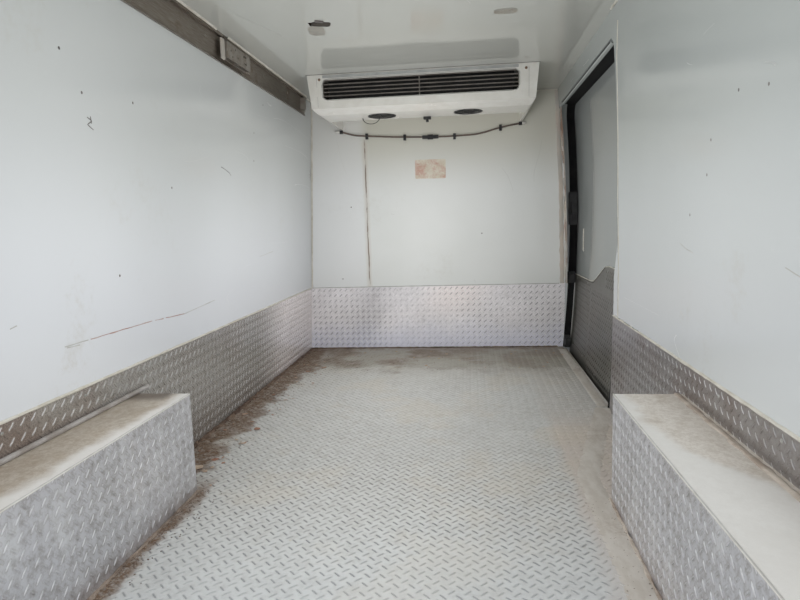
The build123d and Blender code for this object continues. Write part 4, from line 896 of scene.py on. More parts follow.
@dataclass(frozen=True)
class SolidFinish(Finish):
    """A moulded, rubber or metal finish with its own grain, dust and wear."""

    colour: Colour = (0.5, 0.5, 0.5)
    second: Colour = (0.4, 0.4, 0.4)
    roughness: float = 0.45
    dust: Dust = Dust()
    metallic: float = 0.0
    grain_scale: float = 300.0
    grain_depth: float = 0.0002
    brushed: Place = (1.0, 1.0, 1.0)
    coat: float = 0.0
    specular: float = 0.5

    def wire(self, graph: Graph, shader: bpy.types.Node) -> None:
        """Feeds colour, gloss and grain from brushed noise and dust.

        Args:
            graph: the material's nodes.
            shader: its Principled BSDF.
        """
        place = graph.place()
        run = graph.stretch(place, self.brushed)
        tone = graph.noise(run, 18.0, 4.0, 0.6)
        base = graph.mix(graph.ramp(tone, 0.35, 0.65), self.colour, self.second)
        grime = graph.group(SharedEffects.GRIME, Vector=place, Patch_Scale=7.0, Grain_Scale=110.0,
                            Amount=self.dust.amount)
        film = graph.times(grime.outputs["Mask"], self.dust.strength)
        base = graph.mix(film, base, self.dust.colour)
        graph.feed(shader.inputs["Base Color"], base)
        rough = graph.plus(self.roughness, graph.times(film, 0.5))
        rough = graph.plus(rough, graph.times(graph.minus(tone, 0.5), 0.12))
        graph.feed(shader.inputs["Roughness"], rough)
        if self.metallic > 0.0:
            graph.feed(shader.inputs["Metallic"],
                       graph.times(graph.minus(1.0, film), self.metallic))
        grain = graph.noise(run, self.grain_scale, 2.0, 0.5)
        graph.feed(shader.inputs["Normal"], graph.bump(grain, self.grain_depth, 0.6))
        shader.inputs["Coat Weight"].default_value = self.coat
        shader.inputs["Specular IOR Level"].default_value = self.specular


@dataclass(frozen=True)
class LensFinish(Finish):
    """Red moulded lamp lens with an amber band and fine vertical ribs."""

    red: Colour = (0.42, 0.012, 0.010)
    amber: Colour = (0.70, 0.20, 0.02)
    clear: Colour = (0.55, 0.55, 0.55)
    amber_low: float = 0.72
    clear_low: float = 0.48
    clear_high: float = 0.56

    def wire(self, graph: Graph, shader: bpy.types.Node) -> None:
        """Bands the lens by height and ribs it.

        Args:
            graph: the material's nodes.
            shader: its Principled BSDF.
        """
        place = graph.place()
        z = graph.split(place)[Axis.Z]
        base = graph.mix(graph.math("GREATER_THAN", z, self.amber_low), self.red, self.amber)
        base = graph.mix(graph.span(z, self.clear_low, self.clear_high, 0.0005), base, self.clear)
        dust = graph.group(SharedEffects.GRIME, Vector=place, Patch_Scale=9.0, Grain_Scale=120.0, Amount=0.4)
        base = graph.mix(graph.times(dust.outputs["Mask"], 0.25), base, Tints.lens_dust)
        graph.feed(shader.inputs["Base Color"], base)
        shader.inputs["Roughness"].default_value = 0.12
        shader.inputs["Coat Weight"].default_value = 0.6
        ribs = graph.node("ShaderNodeTexWave", {"Vector": place, "Scale": 55.0}, bands_direction="X").outputs["Fac"]
        graph.feed(shader.inputs["Normal"], graph.bump(ribs, 0.0008, 0.6))


@dataclass(frozen=True)
class FloorFinish(Finish):
    """The plain pale studio floor, white where the camera looks past the object."""

    tint: Colour = (0.80, 0.80, 0.79)

    def wire(self, graph: Graph, shader: bpy.types.Node) -> None:
        """Feeds a soft pale concrete tone.

        Args:
            graph: the material's nodes.
            shader: its Principled BSDF.
        """
        tone = graph.noise(graph.place(), 2.0, 4.0)
        graph.feed(shader.inputs["Base Color"],
                   graph.mix(graph.ramp(tone, 0.3, 0.7, 0.0, 0.06), self.tint, Tints.floor_cloud))
        shader.inputs["Roughness"].default_value = 0.8


class Finishes:
    """Every finish of the compartment, by the piece that wears it."""

    wall = LiningFinish("lining_and_paint", lining=(0.585, 0.605, 0.605), cool_light=(0.755, 0.775, 0.835))
    # Painted shade: the right side wears a darker copy of the wall lining, also painted darker towards the ceiling.
    shaded_right_wall = LiningFinish("right_lining_and_paint", lining=(0.525, 0.555, 0.55), cool_light=(0.65, 0.67, 0.7),
                              top_shade=0.33)
    ceiling = LiningFinish("ceiling_and_roof", lining=(0.49, 0.495, 0.46), split_axis=Axis.Z, split_at=CEILING_SKIN_Z,
                           both_sides=False, scuff_share=0.1, cool_light_share=0.0, hollow_top=1.81, gloss=0.06)
    # Painted shade: the side door wears a much darker copy of the lining.
    side_door = LiningFinish("side_door_lining", lining=(0.33, 0.35, 0.345), split_at=DOOR_SPLIT_X, cool_light_share=0.0,
                             scuff_share=0.1, gloss=0.12)
    rear_door = LiningFinish("rear_door_lining", split_at=REAR_DOOR_EDGE_X)
    rear_frame = LiningFinish("rear_frame_paint", split_axis=None, lining=(0.78, 0.79, 0.78))
    bulkhead = BulkheadFinish("bulkhead_lining")
    board = SolidFinish("floor_board_edge", (0.4, 0.33, 0.24), (0.3, 0.25, 0.18), 0.7, brushed=(1.0, 1.0, 30.0))
    # The floor's lugs are painted dark on both leans: painted shade on their flanks.
    floor = TreadFinish("floor_tread", is_floor=True, metallic=0.1, roughness=0.58, metal=(0.62, 0.62, 0.605),
                        rim_dirt_and_shade_share=0.25, grime_share=0.34, rise=(0.15, 0.15, 0.15), rise_light_shade_share=0.8,
                        fall=(0.07, 0.07, 0.07), fall_light_shade_share=1.0, mottle_share=0.3, far_lugs=0.22,
                        lugs_fade=(-0.9, 0.5), stain=(0.155, 0.098, 0.062))
    kick_left = TreadFinish("kick_left_tread", across=Axis.Y, along=Axis.Z, metal=(0.39, 0.375, 0.355), roughness=0.26,
                            clean_from_y=0.62, brown_share=0.72, rim_dirt_and_shade_share=0.4, fall_light_shade_share=0.12, metallic=0.45,
                            brown_front=0.25)
    kick_right = TreadFinish("kick_right_tread", across=Axis.Y, along=Axis.Z, metal=(0.4, 0.385, 0.395), roughness=0.3,
                             brown_share=0.6, rim_dirt_and_shade_share=0.35, fall_light_shade_share=0.1)
    # Painted light: the bulkhead's kick plate is painted near white for the daylight it reflects, its falling lugs
    # white and its rising lugs dark.
    kick_bulkhead = TreadFinish("kick_bulkhead_tread", across=Axis.X, along=Axis.Z, metal=(0.98, 0.95, 0.98),
                                rim_dirt_and_shade_share=0.35, grime_share=0.2, metallic=0.15, roughness=0.28,
                                rise=(0.15, 0.14, 0.16), rise_light_shade_share=0.75, fall=(1.0, 1.0, 1.0), fall_light_shade_share=0.9,
                                mottle_share=0.25, dirt=(0.3, 0.28, 0.29), glints=True)
    # Painted shade: the side door's kick plate is the same tread plate, painted far darker.
    kick_door = TreadFinish("kick_door_tread", across=Axis.Y, along=Axis.Z, metal=(0.165, 0.165, 0.148),
                            roughness=0.34, rise_light_shade_share=0.12, brown_share=0.15, rim_dirt_and_shade_share=0.18, fall_light_shade_share=0.06,
                            mottle_share=0.25)
    # The wheel boxes' rising lugs are painted near white: painted highlights.
    box = TreadFinish("wheel_box_tread", across=Axis.Y, along=Axis.Z, metal=(0.76, 0.76, 0.805), roughness=0.34,
                      smooth_top_z=BOX_TOP_Z, grime_share=0.4, rim_dirt_and_shade_share=0.3, fall_light_shade_share=0.08, rise_light_shade_share=0.85,
                      cloud_share=0.45)
    dusty_bar = SolidFinish("dusty_bar", (0.44, 0.42, 0.41), (0.32, 0.29, 0.27), 0.6,
                            Dust((0.5, 0.46, 0.42), strength=0.6), metallic=0.2, grain_scale=160.0, grain_depth=0.001)
    dusty_steel = SolidFinish("dusty_steel", (0.4, 0.37, 0.34), (0.28, 0.24, 0.2), 0.42,
                              Dust((0.24, 0.15, 0.09), 0.5, 0.6), metallic=0.6)
    steel = SolidFinish("galvanised_steel", (0.4, 0.41, 0.42), (0.3, 0.31, 0.32), 0.5,
                        Dust((0.22, 0.15, 0.1), 0.6, 0.6), metallic=0.85)
    stainless = SolidFinish("stained_stainless", (0.36, 0.32, 0.28), (0.24, 0.2, 0.17), 0.36,
                            Dust((0.17, 0.12, 0.08), 0.55, 0.55), metallic=0.9, brushed=(30.0, 1.0, 30.0))
    bright = SolidFinish("bright_stainless", (0.7, 0.7, 0.69), (0.58, 0.58, 0.57), 0.3, metallic=0.9,
                         brushed=(20.0, 1.0, 20.0))
    black = SolidFinish("black_moulding", (0.028, 0.028, 0.03), (0.045, 0.045, 0.046), 0.5, Dust(strength=0.1),
                        grain_depth=0.0004, specular=0.3)
    rubber = SolidFinish("sealing_rubber", (0.008, 0.008, 0.009), (0.014, 0.014, 0.014), 0.7,
                         Dust(amount=0.3, strength=0.06), grain_scale=160.0, specular=0.15)
    moulding = SolidFinish("housing_moulding", (0.775, 0.76, 0.715), (0.73, 0.71, 0.66), 0.2,
                           Dust((0.5, 0.44, 0.36), 0.42, 0.4), grain_depth=0.0001)
    fins = SolidFinish("coil_fins", (0.03, 0.03, 0.03), (0.012, 0.012, 0.012), 0.5, metallic=0.3,
                       brushed=(40.0, 1.0, 1.0))
    slat = SolidFinish("grille_slats", (0.22, 0.2, 0.18), (0.15, 0.135, 0.12), 0.45)
    hose = SolidFinish("brown_hose", (0.15, 0.11, 0.09), (0.1, 0.075, 0.065), 0.45, coat=0.3)
    lens = LensFinish("tail_lamp_lens")
    sealant = SolidFinish("pale_sealant", (0.66, 0.64, 0.58), (0.54, 0.51, 0.44), 0.5,
                          Dust((0.33, 0.25, 0.18), 0.5, 0.6))
    dirty_sealant = SolidFinish("dirty_sealant", (0.46, 0.45, 0.42), (0.56, 0.5, 0.44), 0.5,
                                Dust((0.42, 0.2, 0.13), 0.5, 0.75), brushed=(1.0, 1.0, 0.4))
    # Dark joints and cracks, and painted shade: the shadow under the door's kick plate, the bracket's slots and the
    # torn lamp hole's opening.
    crack = SolidFinish("dark_joint", (0.035, 0.03, 0.026), (0.07, 0.06, 0.05), 0.8)
    faint_line = SolidFinish("faint_mark", (0.36, 0.36, 0.34), (0.46, 0.46, 0.44), 0.5)
    door_line = SolidFinish("door_line", (0.25, 0.26, 0.25), (0.3, 0.31, 0.3), 0.3)
    # Dark marks, and the painted shade of the flap in the lamp hole.
    scratch = SolidFinish("dark_mark", (0.09, 0.08, 0.08), (0.2, 0.18, 0.17), 0.5)
    grit = SolidFinish("dirt_grit", (0.085, 0.055, 0.042), (0.19, 0.135, 0.1), 0.9, Dust((0.3, 0.23, 0.18), 0.35, 0.5),
                       grain_scale=260.0, grain_depth=0.006)
    soil = SolidFinish("soil_crumbs", (0.16, 0.115, 0.09), (0.33, 0.26, 0.2), 0.9)
    leaf = SolidFinish("dry_leaf", (0.4, 0.24, 0.12), (0.55, 0.42, 0.27), 0.75, Dust((0.3, 0.1, 0.06), 0.7, 0.7))
    bare_strip = SolidFinish("bare_strip", (0.6, 0.565, 0.52), (0.52, 0.48, 0.43), 0.55,
                             Dust((0.34, 0.28, 0.23), 0.55, 0.55), metallic=0.1, brushed=(2.0, 0.8, 1.0))
    worn_edge = SolidFinish("worn_edge", (0.74, 0.73, 0.71), (0.6, 0.58, 0.55), 0.35,
                            Dust((0.38, 0.32, 0.26), 0.4, 0.5), metallic=0.5)
    # Dirt and painted shade at the right wheel box's foot and along its top by the wall.
    soft_dirt = SolidFinish("soft_dirt", (0.37, 0.305, 0.255), (0.54, 0.48, 0.42), 0.85, grain_scale=180.0,
                            grain_depth=0.002)
    foot_dirt = SolidFinish("foot_dirt", (0.17, 0.13, 0.105), (0.3, 0.245, 0.205), 0.9,
                            Dust((0.16, 0.11, 0.08), 0.5, 0.6), grain_scale=200.0, grain_depth=0.005)
    old_leaf = SolidFinish("old_leaf", (0.3, 0.15, 0.1), (0.52, 0.42, 0.33), 0.8, Dust((0.16, 0.09, 0.06), 0.6, 0.7))
    red_mark = SolidFinish("red_mark", (0.3, 0.13, 0.1), (0.48, 0.38, 0.35), 0.5)
    glue = SolidFinish("old_glue", (0.42, 0.42, 0.4), (0.55, 0.52, 0.47), 0.6, Dust((0.26, 0.13, 0.08), 0.75, 0.8),
                       brushed=(1.0, 1.0, 0.3))
    glue_rest = SolidFinish("glue_rest", (0.78, 0.79, 0.78), (0.66, 0.64, 0.6), 0.5)
    smear = SolidFinish("ceiling_smear", (0.3, 0.29, 0.26), (0.38, 0.36, 0.315), 0.5,
                        Dust((0.2, 0.16, 0.12), 0.6, 0.5))
    patch = SolidFinish("worn_patch", (0.72, 0.68, 0.58), (0.66, 0.6, 0.49), 0.4, Dust((0.5, 0.14, 0.1), 0.72, 0.55))
    grey_strip = SolidFinish("grey_strip", (0.36, 0.37, 0.36), (0.44, 0.45, 0.44), 0.25)
    rusty = SolidFinish("rusty_screw", (0.24, 0.14, 0.09), (0.36, 0.3, 0.24), 0.6, metallic=0.4)
    amber = SolidFinish("amber_reflector", (0.7, 0.2, 0.02), (0.6, 0.15, 0.02), 0.15, coat=0.6)
    red = SolidFinish("red_reflector", (0.42, 0.012, 0.01), (0.34, 0.01, 0.01), 0.15, coat=0.6)


def mesh_object(name: str, mesh_data: bmesh.types.BMesh, finish: Finish, smooth: bool = False) -> bpy.types.Object:
    """Makes a piece from a finished bmesh.

    Args:
        name: the piece's name.
        mesh_data: the bmesh, which is freed.
        finish: what it wears.
        smooth: whether its faces shade smoothly.

    Returns:
        The new object, at the origin.
    """
    mesh = bpy.data.meshes.new(name)
    if smooth:
        for face in mesh_data.faces:
            face.smooth = True
    mesh_data.to_mesh(mesh)
    mesh_data.free()
    made = bpy.data.objects.new(name, mesh)
    bpy.context.scene.collection.objects.link(made)
    mesh.materials.append(finish.material())
    log.info("%s: %d faces", name, len(mesh.polygons))
    return made


def apply_modifiers(piece: bpy.types.Object) -> None:
    """Replaces a piece's mesh by what its modifiers make, and clears them.

    Args:
        piece: the piece.
    """
    graph = bpy.context.evaluated_depsgraph_get()
    finished = bpy.data.meshes.new_from_object(piece.evaluated_get(graph))
    old = piece.data
    piece.modifiers.clear()
    piece.data = finished
    finished.name = old.name
    bpy.data.meshes.remove(old)


@dataclass
class TreadPanel:
    """A stretch of raised lugs that lies on one face of a plate.

    Its u and v run along the face on the same grid as the plate's dirt, painted shade and painted lug light, and
    surface carries a point from u, v and height to its place.
    """

    name: str
    u_span: tuple[float, float]
    v_span: tuple[float, float]
    surface: Surface
    finish: Finish
    slot: str = "tread_plate"
    margin: float = 0.006
    pattern: LugPattern = field(default_factory=LugPattern)

    def lug(self, mesh_data: bmesh.types.BMesh, centre: tuple[float, float], lean: float) -> None:
        """Adds one lug: a long six-sided foot drawn in to a smaller top.

        Args:
            mesh_data: the bmesh that it is added to.
            centre: its middle, by u and v.
            lean: 1 where it rises along u, and -1 where it falls.
        """
        half, wide = self.pattern.length / 2, self.pattern.width / 2
        flank = half * self.pattern.flank
        foot = ((-half, 0.0), (-flank, -wide), (flank, -wide), (half, 0.0), (flank, wide), (-flank, wide))
        ring = []
        for along, beside in foot:
            u = (along - beside * lean) * math.sqrt(0.5) + centre[0]
            v = (along * lean + beside) * math.sqrt(0.5) + centre[1]
            ring.append(mesh_data.verts.new((u, v, 0.0)))
        face = mesh_data.faces.new(ring)
        lifted = bmesh.ops.extrude_discrete_faces(mesh_data, faces=[face])["faces"][0]
        middle = Vector((centre[0], centre[1], 0.0))
        for vert in lifted.verts:
            vert.co = middle + (vert.co - middle) * self.pattern.top_share
            vert.co.z = self.pattern.height

    def build(self) -> bpy.types.Object:
        """Arrays the cell over the panel, trims it to the borders and lays it on the surface.

        Returns:
            The piece.
        """
        cell = bmesh.new()
        pitch = self.pattern.pitch
        first_u = math.floor(self.u_span[0] / pitch) * pitch
        first_v = math.floor(self.v_span[0] / pitch) * pitch
        self.lug(cell, (first_u, first_v), 1.0)
        self.lug(cell, (first_u + pitch / 2, first_v + pitch / 2), -1.0)
        bmesh.ops.recalc_face_normals(cell, faces=cell.faces[:])
        piece = mesh_object(self.name, cell, self.finish)
        for axis, span, start in ((0, self.u_span, first_u), (1, self.v_span, first_v)):
            array = piece.modifiers.new("rows", "ARRAY")
            array.use_relative_offset = False
            array.use_constant_offset = True
            step = [0.0, 0.0, 0.0]
            step[axis] = pitch
            array.constant_offset_displace = step
            array.count = math.ceil((span[1] - start) / pitch) + 1
        apply_modifiers(piece)
        self.trim(piece)
        self.lay(piece)
        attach(piece, BODY)
        return piece

    def trim(self, piece: bpy.types.Object) -> None:
        """Deletes every lug that reaches past the panel's borders.

        Args:
            piece: the panel, still flat.
        """
        trimmed = bmesh.new()
        trimmed.from_mesh(piece.data)
        reach = self.pattern.length * 0.36 + self.margin
        seen: set[int] = set()
        doomed: list[bmesh.types.BMVert] = []
        trimmed.verts.ensure_lookup_table()
        for start in trimmed.verts:
            if start.index in seen:
                continue
            island, edge = [start], [start]
            seen.add(start.index)
            while edge:
                for link in edge.pop().link_edges:
                    for vert in link.verts:
                        if vert.index not in seen:
                            seen.add(vert.index)
                            island.append(vert)
                            edge.append(vert)
            u = sum(v.co.x for v in island) / len(island)
            v = sum(v.co.y for v in island) / len(island)
            inside_u = self.u_span[0] + reach <= u <= self.u_span[1] - reach
            inside_v = self.v_span[0] + reach <= v <= self.v_span[1] - reach
            if not (inside_u and inside_v):
                doomed.extend(island)
        bmesh.ops.delete(trimmed, geom=doomed, context="VERTS")
        trimmed.to_mesh(piece.data)
        trimmed.free()

    def lay(self, piece: bpy.types.Object) -> None:
        """Carries every point to the surface, and turns the faces outwards.

        Args:
            piece: the trimmed panel.
        """
        laid = bmesh.new()
        laid.from_mesh(piece.data)
        for vert in laid.verts:
            vert.co = self.surface(vert.co.x, vert.co.y, vert.co.z)
        bmesh.ops.recalc_face_normals(laid, faces=laid.faces[:])
        laid.to_mesh(piece.data)
        laid.free()
        log.info("%s: %d faces", piece.name, len(piece.data.polygons))


@dataclass
class TreadPlates:
    """All the raised lugs of the floor, the kick plates and the wheel boxes."""

    floor_joint: float = 0.008
    door_front: float = 1.655
    box_wall: float = 0.80

    def build(self) -> None:
        """Lays every panel."""
        for panel in (*self.floor_panels(), *self.wall_panels(), *self.box_panels(Side.LEFT),
                      *self.box_panels(Side.RIGHT)):
            panel.build()

    def floor_panels(self) -> Iterable[TreadPanel]:
        """Yields the floor's panels: in front, beside, between and behind the wheel boxes."""
        flat = Faces.floor
        wide = (LEFT_FOOT + self.floor_joint, RIGHT_FOOT - self.floor_joint)
        between = (-BOX_HALF + self.floor_joint, BOX_HALF - self.floor_joint)
        front, rear = BOX_FRONT_Y + self.floor_joint, BOX_REAR_Y - self.floor_joint
        middle = (front + FRONT_Y) / 2
        yield TreadPanel("floor_lugs_front", wide, (middle, FRONT_Y - self.floor_joint), flat, Finishes.floor,
                         margin=0.0)
        yield TreadPanel("floor_lugs_middle", wide, (front, middle), flat, Finishes.floor, margin=0.0)
        yield TreadPanel("floor_lugs_boxes", between, (rear, front), flat, Finishes.floor, margin=0.0)
        yield TreadPanel("floor_lugs_rear", wide, (REAR_Y, rear), flat, Finishes.floor, margin=0.0)

    def wall_panels(self) -> Iterable[TreadPanel]:
        """Yields the lugs of the kick plates on the walls, the bulkhead and the side door."""
        top = KICK_TOP_Z
        left, right, bulkhead, door = (on_sheet(face) for face in (Faces.left, Faces.right, Faces.bulkhead, Faces.door))
        yield TreadPanel("kick_left_lugs", (BOX_FRONT_Y, FRONT_Y - SHEET), (FLOOR_Z, top), left, Finishes.kick_left)
        yield TreadPanel("kick_left_box_lugs", (REAR_Y, BOX_FRONT_Y), (BOX_TOP_Z, top), left, Finishes.kick_left)
        yield TreadPanel("kick_right_lugs", (BOX_FRONT_Y, FRONT_Y - DOOR_REAR_LOW), (FLOOR_Z, top), right,
                         Finishes.kick_right)
        yield TreadPanel("kick_right_box_lugs", (REAR_Y, BOX_FRONT_Y), (BOX_TOP_Z, top), right, Finishes.kick_right)
        yield TreadPanel("kick_bulkhead_lugs", (-0.8, 0.776), (FLOOR_Z, top), bulkhead, Finishes.kick_bulkhead)
        yield TreadPanel("kick_door_lugs", (1.2, self.door_front), (0.205, 0.65), door, Finishes.kick_door)
        yield TreadPanel("kick_door_rear_lugs", (0.475, 1.2), (0.16, 0.64), door, Finishes.kick_door)
        yield TreadPanel("kick_door_high_lugs", (0.475, 0.875), (0.64, 0.762), door, Finishes.kick_door)

    def box_panels(self, side: Side) -> Iterable[TreadPanel]:
        """Yields the lugs on a wheel box's long side and its two ends.

        Args:
            side: the side that the box is on.
        """
        label = side.name.lower()
        sign = side.value

        def long_side(u: float, v: float, height: float) -> Place:
            """The box's long side, by length and height."""
            return sign * (BOX_HALF - height), u, v

        def rear_end(u: float, v: float, height: float) -> Place:
            """The box's rear end, by width and height."""
            return u, BOX_REAR_Y - height, v

        heights = (FLOOR_Z, BOX_TOP_Z)
        widths = tuple(sorted((sign * BOX_HALF, sign * self.box_wall)))
        ends = TreadFinish("wheel_box_end_tread", across=Axis.X, along=Axis.Z, metal=(0.58, 0.58, 0.58), roughness=0.36)
        yield TreadPanel(f"wheel_box_{label}_lugs", (BOX_REAR_Y, BOX_FRONT_Y), heights, long_side, Finishes.box)
        yield TreadPanel(f"wheel_box_{label}_front_lugs", widths, heights, Faces.box_front, ends)
        yield TreadPanel(f"wheel_box_{label}_rear_lugs", widths, heights, rear_end, ends)


def place_piece(piece: bpy.types.Object, slot: str, body: str = BODY) -> bpy.types.Object:
    """Joins a piece to its body.

    Args:
        piece: the piece.
        slot: not used.
        body: the body that it moves with.

    Returns:
        The piece.
    """
    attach(piece, body)
    return piece


@dataclass
class Strips:
    """Thin strips that follow marks along a face: sealant beads, seams, scratches and ridges of dirt."""

    name: str
    surface: Surface
    runs: Sequence[Sequence[Mark]]
    width: float
    height: float
    finish: Finish
    slot: str = "lining"
    wobble: float = 0.0
    step: float = 0.03
    flat: bool = False
    body: str = BODY
    across: int = 6

    def build(self) -> bpy.types.Object:
        """Lays one grid along each run, and joins them.

        Returns:
            The piece.
        """
        whole = bmesh.new()
        for number, run in enumerate(self.runs):
            total = sum(math.dist(a, b) for a, b in zip(run, run[1:]))
            cells = max(2, math.ceil(total / self.step))
            made = bmesh.ops.create_grid(whole, x_segments=cells, y_segments=self.across, size=0.5)
            for vert in made["verts"]:
                vert.co = self.carry(run, total, vert.co.x + 0.5, vert.co.y * 2.0, number)
        bmesh.ops.recalc_face_normals(whole, faces=whole.faces[:])
        self.face_outwards(whole)
        return place_piece(mesh_object(self.name, whole, self.finish, smooth=True), self.slot, self.body)

    def face_outwards(self, whole: bmesh.types.BMesh) -> None:
        """Turns the faces over where they look into the surface.

        Args:
            whole: the strips' bmesh.
        """
        mark = self.runs[0][0]
        out = Vector(self.surface(*mark, 1.0)) - Vector(self.surface(*mark, 0.0))
        inward = [face for face in whole.faces if face.normal.dot(out) < -0.2]
        bmesh.ops.reverse_faces(whole, faces=inward)

    def carry(self, run: Sequence[Mark], total: float, share: float, side: float, number: int) -> Place:
        """Returns a grid point's place.

        Args:
            run: the marks that the strip follows.
            total: the run's length.
            share: how far along the strip the point is, from 0 to 1.
            side: how far across it is, from -1 to 1.
            number: the run's number, which varies its wobble.

        Returns:
            The place on the surface.
        """
        here = self.along(run, share * total)
        before = self.along(run, share * total - self.width)
        after = self.along(run, share * total + self.width)
        heading = Vector((after[0] - before[0], after[1] - before[1])).normalized()
        seed = Vector((share * total * 22.0, 7.1 * number + len(self.name), side))
        swell = 1.0 + self.wobble * noise.noise(seed) * 1.6
        reach = side * self.width / 2 * swell
        profile = (1.0 - side ** 8) if self.flat else math.sqrt(max(0.0, 1.0 - side * side))
        rise = self.height * profile * (1.0 + self.wobble * noise.noise(seed * 2.3))
        return self.surface(here[0] - heading.y * reach, here[1] + heading.x * reach, rise)

    @staticmethod
    def along(run: Sequence[Mark], distance: float) -> Mark:
        """Finds a place along a run, which is carried on straight past its ends.

        Args:
            run: the marks that the strip follows.
            distance: how far along it the place is.

        Returns:
            The place, by u and v.
        """
        for index, (start, end) in enumerate(zip(run, run[1:])):
            leg = math.dist(start, end)
            if distance <= leg or index == len(run) - 2:
                part = distance / leg
                return start[0] + (end[0] - start[0]) * part, start[1] + (end[1] - start[1]) * part
            distance -= leg
        return run[-1]


@dataclass
class Studs:
    """Low domes at places on a face: screw heads, rivets and spots."""

    name: str
    surface: Surface
    places: Sequence[Mark]
    radius: float
    height: float
    finish: Finish
    slot: str = "lining"
    body: str = BODY

    def build(self) -> bpy.types.Object:
        """Squashes one ball at each place, half sunk in the face.

        Returns:
            The piece.
        """
        whole = bmesh.new()
        for u, v in self.places:
            made = bmesh.ops.create_uvsphere(whole, u_segments=14, v_segments=8, radius=1.0)
            for vert in made["verts"]:
                ball = vert.co.copy()
                vert.co = self.surface(u + ball.x * self.radius, v + ball.y * self.radius, ball.z * self.height)
        bmesh.ops.recalc_face_normals(whole, faces=whole.faces[:])
        return place_piece(mesh_object(self.name, whole, self.finish, smooth=True), self.slot, self.body)


@dataclass
class Plate:
    """A thin plate with rounded corners that lies on a face."""

    name: str
    surface: Surface
    centre: Mark
    size: tuple[float, float]
    thick: float
    radius: float
    finish: Finish
    slot: str = "lining"
    turn: float = 0.0
    body: str = BODY

    def build(self) -> bpy.types.Object:
        """Scales a cube, rounds its upright edges and lays it on the face.

        Returns:
            The piece.
        """
        whole = bmesh.new()
        bmesh.ops.create_cube(whole, size=1.0)
        bmesh.ops.scale(whole, vec=(self.size[0], self.size[1], 2 * self.thick), verts=whole.verts[:])
        upright = [edge for edge in whole.edges if abs(edge.verts[0].co.z - edge.verts[1].co.z) > self.thick]
        bmesh.ops.bevel(whole, geom=upright, offset=self.radius, affect="EDGES", segments=4, profile=0.5, material=-1)
        rim = [edge for edge in whole.edges if min(v.co.z for v in edge.verts) > self.thick * 0.9]
        bmesh.ops.bevel(whole, geom=rim, offset=self.thick * 0.35, affect="EDGES", segments=1, profile=0.5, material=-1)
        bmesh.ops.rotate(whole, cent=(0.0, 0.0, 0.0), matrix=Matrix.Rotation(self.turn, 3, "Z"), verts=whole.verts[:])
        for vert in whole.verts:
            vert.co = self.surface(self.centre[0] + vert.co.x, self.centre[1] + vert.co.y, vert.co.z)
        bmesh.ops.recalc_face_normals(whole, faces=whole.faces[:])
        return place_piece(mesh_object(self.name, whole, self.finish), self.slot, self.body)


@dataclass
class Crumbs:
    """Loose bits that lie on a face: crumbs of dirt, or flakes of leaf."""

    name: str
    surface: Surface
    u_span: tuple[float, float]
    v_span: tuple[float, float]
    count: int
    size: tuple[float, float]
    finish: Finish
    slot: str = "lining"
    crowd: float = 1.0
    flake: bool = False

    def build(self) -> bpy.types.Object:
        """Scatters the bits, closer together towards the first edge of u.

        Returns:
            The piece.
        """
        picker = random.Random(self.name)
        whole = bmesh.new()
        for _ in range(self.count):
            u = self.u_span[0] + (self.u_span[1] - self.u_span[0]) * picker.random() ** self.crowd
            v = picker.uniform(*self.v_span)
            self.bit(whole, picker, u, v)
        bmesh.ops.recalc_face_normals(whole, faces=whole.faces[:])
        return place_piece(mesh_object(self.name, whole, self.finish), self.slot)

    def bit(self, whole: bmesh.types.BMesh, picker: random.Random, u: float, v: float) -> None:
        """Adds one bit.

        Args:
            whole: the bmesh that it is added to.
            picker: the source of its size, turn and bend.
            u: its place along the face.
            v: its place across the face.
        """
        reach = picker.uniform(*self.size)
        long, wide = reach, reach * picker.uniform(0.35, 0.9)
        tall = reach * (0.10 if self.flake else 0.45)
        made = bmesh.ops.create_icosphere(whole, subdivisions=1, radius=1.0)
        turn = Matrix.Rotation(picker.uniform(0.0, math.tau), 3, "Z")
        curl = picker.uniform(-0.5, 0.5) if self.flake else 0.0
        for vert in made["verts"]:
            ball = vert.co.copy()
            ball *= picker.uniform(0.75, 1.15)
            flat = turn @ Vector((ball.x * long, ball.y * wide, 0.0))
            lift = (ball.z + 0.7) * tall + curl * ball.x * ball.x * reach
            vert.co = self.surface(u + flat.x, v + flat.y, LugPattern.height * 0.5 + abs(lift))


@dataclass
class Bar:
    """A round bar or sleeve, straight, or bent by a half turn into a loop."""

    name: str
    start: Place
    end: Place
    radius: float
    finish: Finish
    slot: str
    loop_drop: float = 0.0

    def build(self) -> bpy.types.Object:
        """Spins a ring through half a turn for a loop, or stretches a cone for a straight bar.

        Returns:
            The piece.
        """
        whole = bmesh.new()
        start, end = Vector(self.start), Vector(self.end)
        if self.loop_drop > 0.0:
            middle, half = (start + end) / 2, (end - start).length / 2
            ring = bmesh.ops.create_circle(whole, segments=12, radius=self.radius)
            bmesh.ops.translate(whole, vec=(-half, 0.0, 0.0), verts=ring["verts"])
            bmesh.ops.spin(whole, geom=whole.edges[:], cent=(0.0, 0.0, 0.0), axis=(0.0, -1.0, 0.0),
                           dvec=(0.0, 0.0, 0.0), angle=math.pi, steps=24, use_merge=False)
            for vert in whole.verts:
                vert.co = middle + Vector((vert.co.x, vert.co.y, vert.co.z * self.loop_drop / half))
        else:
            bmesh.ops.create_cone(whole, cap_ends=True, segments=24, radius1=self.radius, radius2=self.radius,
                                  depth=(end - start).length)
            turn = (end - start).to_track_quat("Z", "Y").to_matrix()
            bmesh.ops.rotate(whole, cent=(0.0, 0.0, 0.0), matrix=turn, verts=whole.verts[:])
            bmesh.ops.translate(whole, vec=(start + end) / 2, verts=whole.verts[:])
        bmesh.ops.recalc_face_normals(whole, faces=whole.faces[:])
        return place_piece(mesh_object(self.name, whole, self.finish, smooth=True), self.slot)


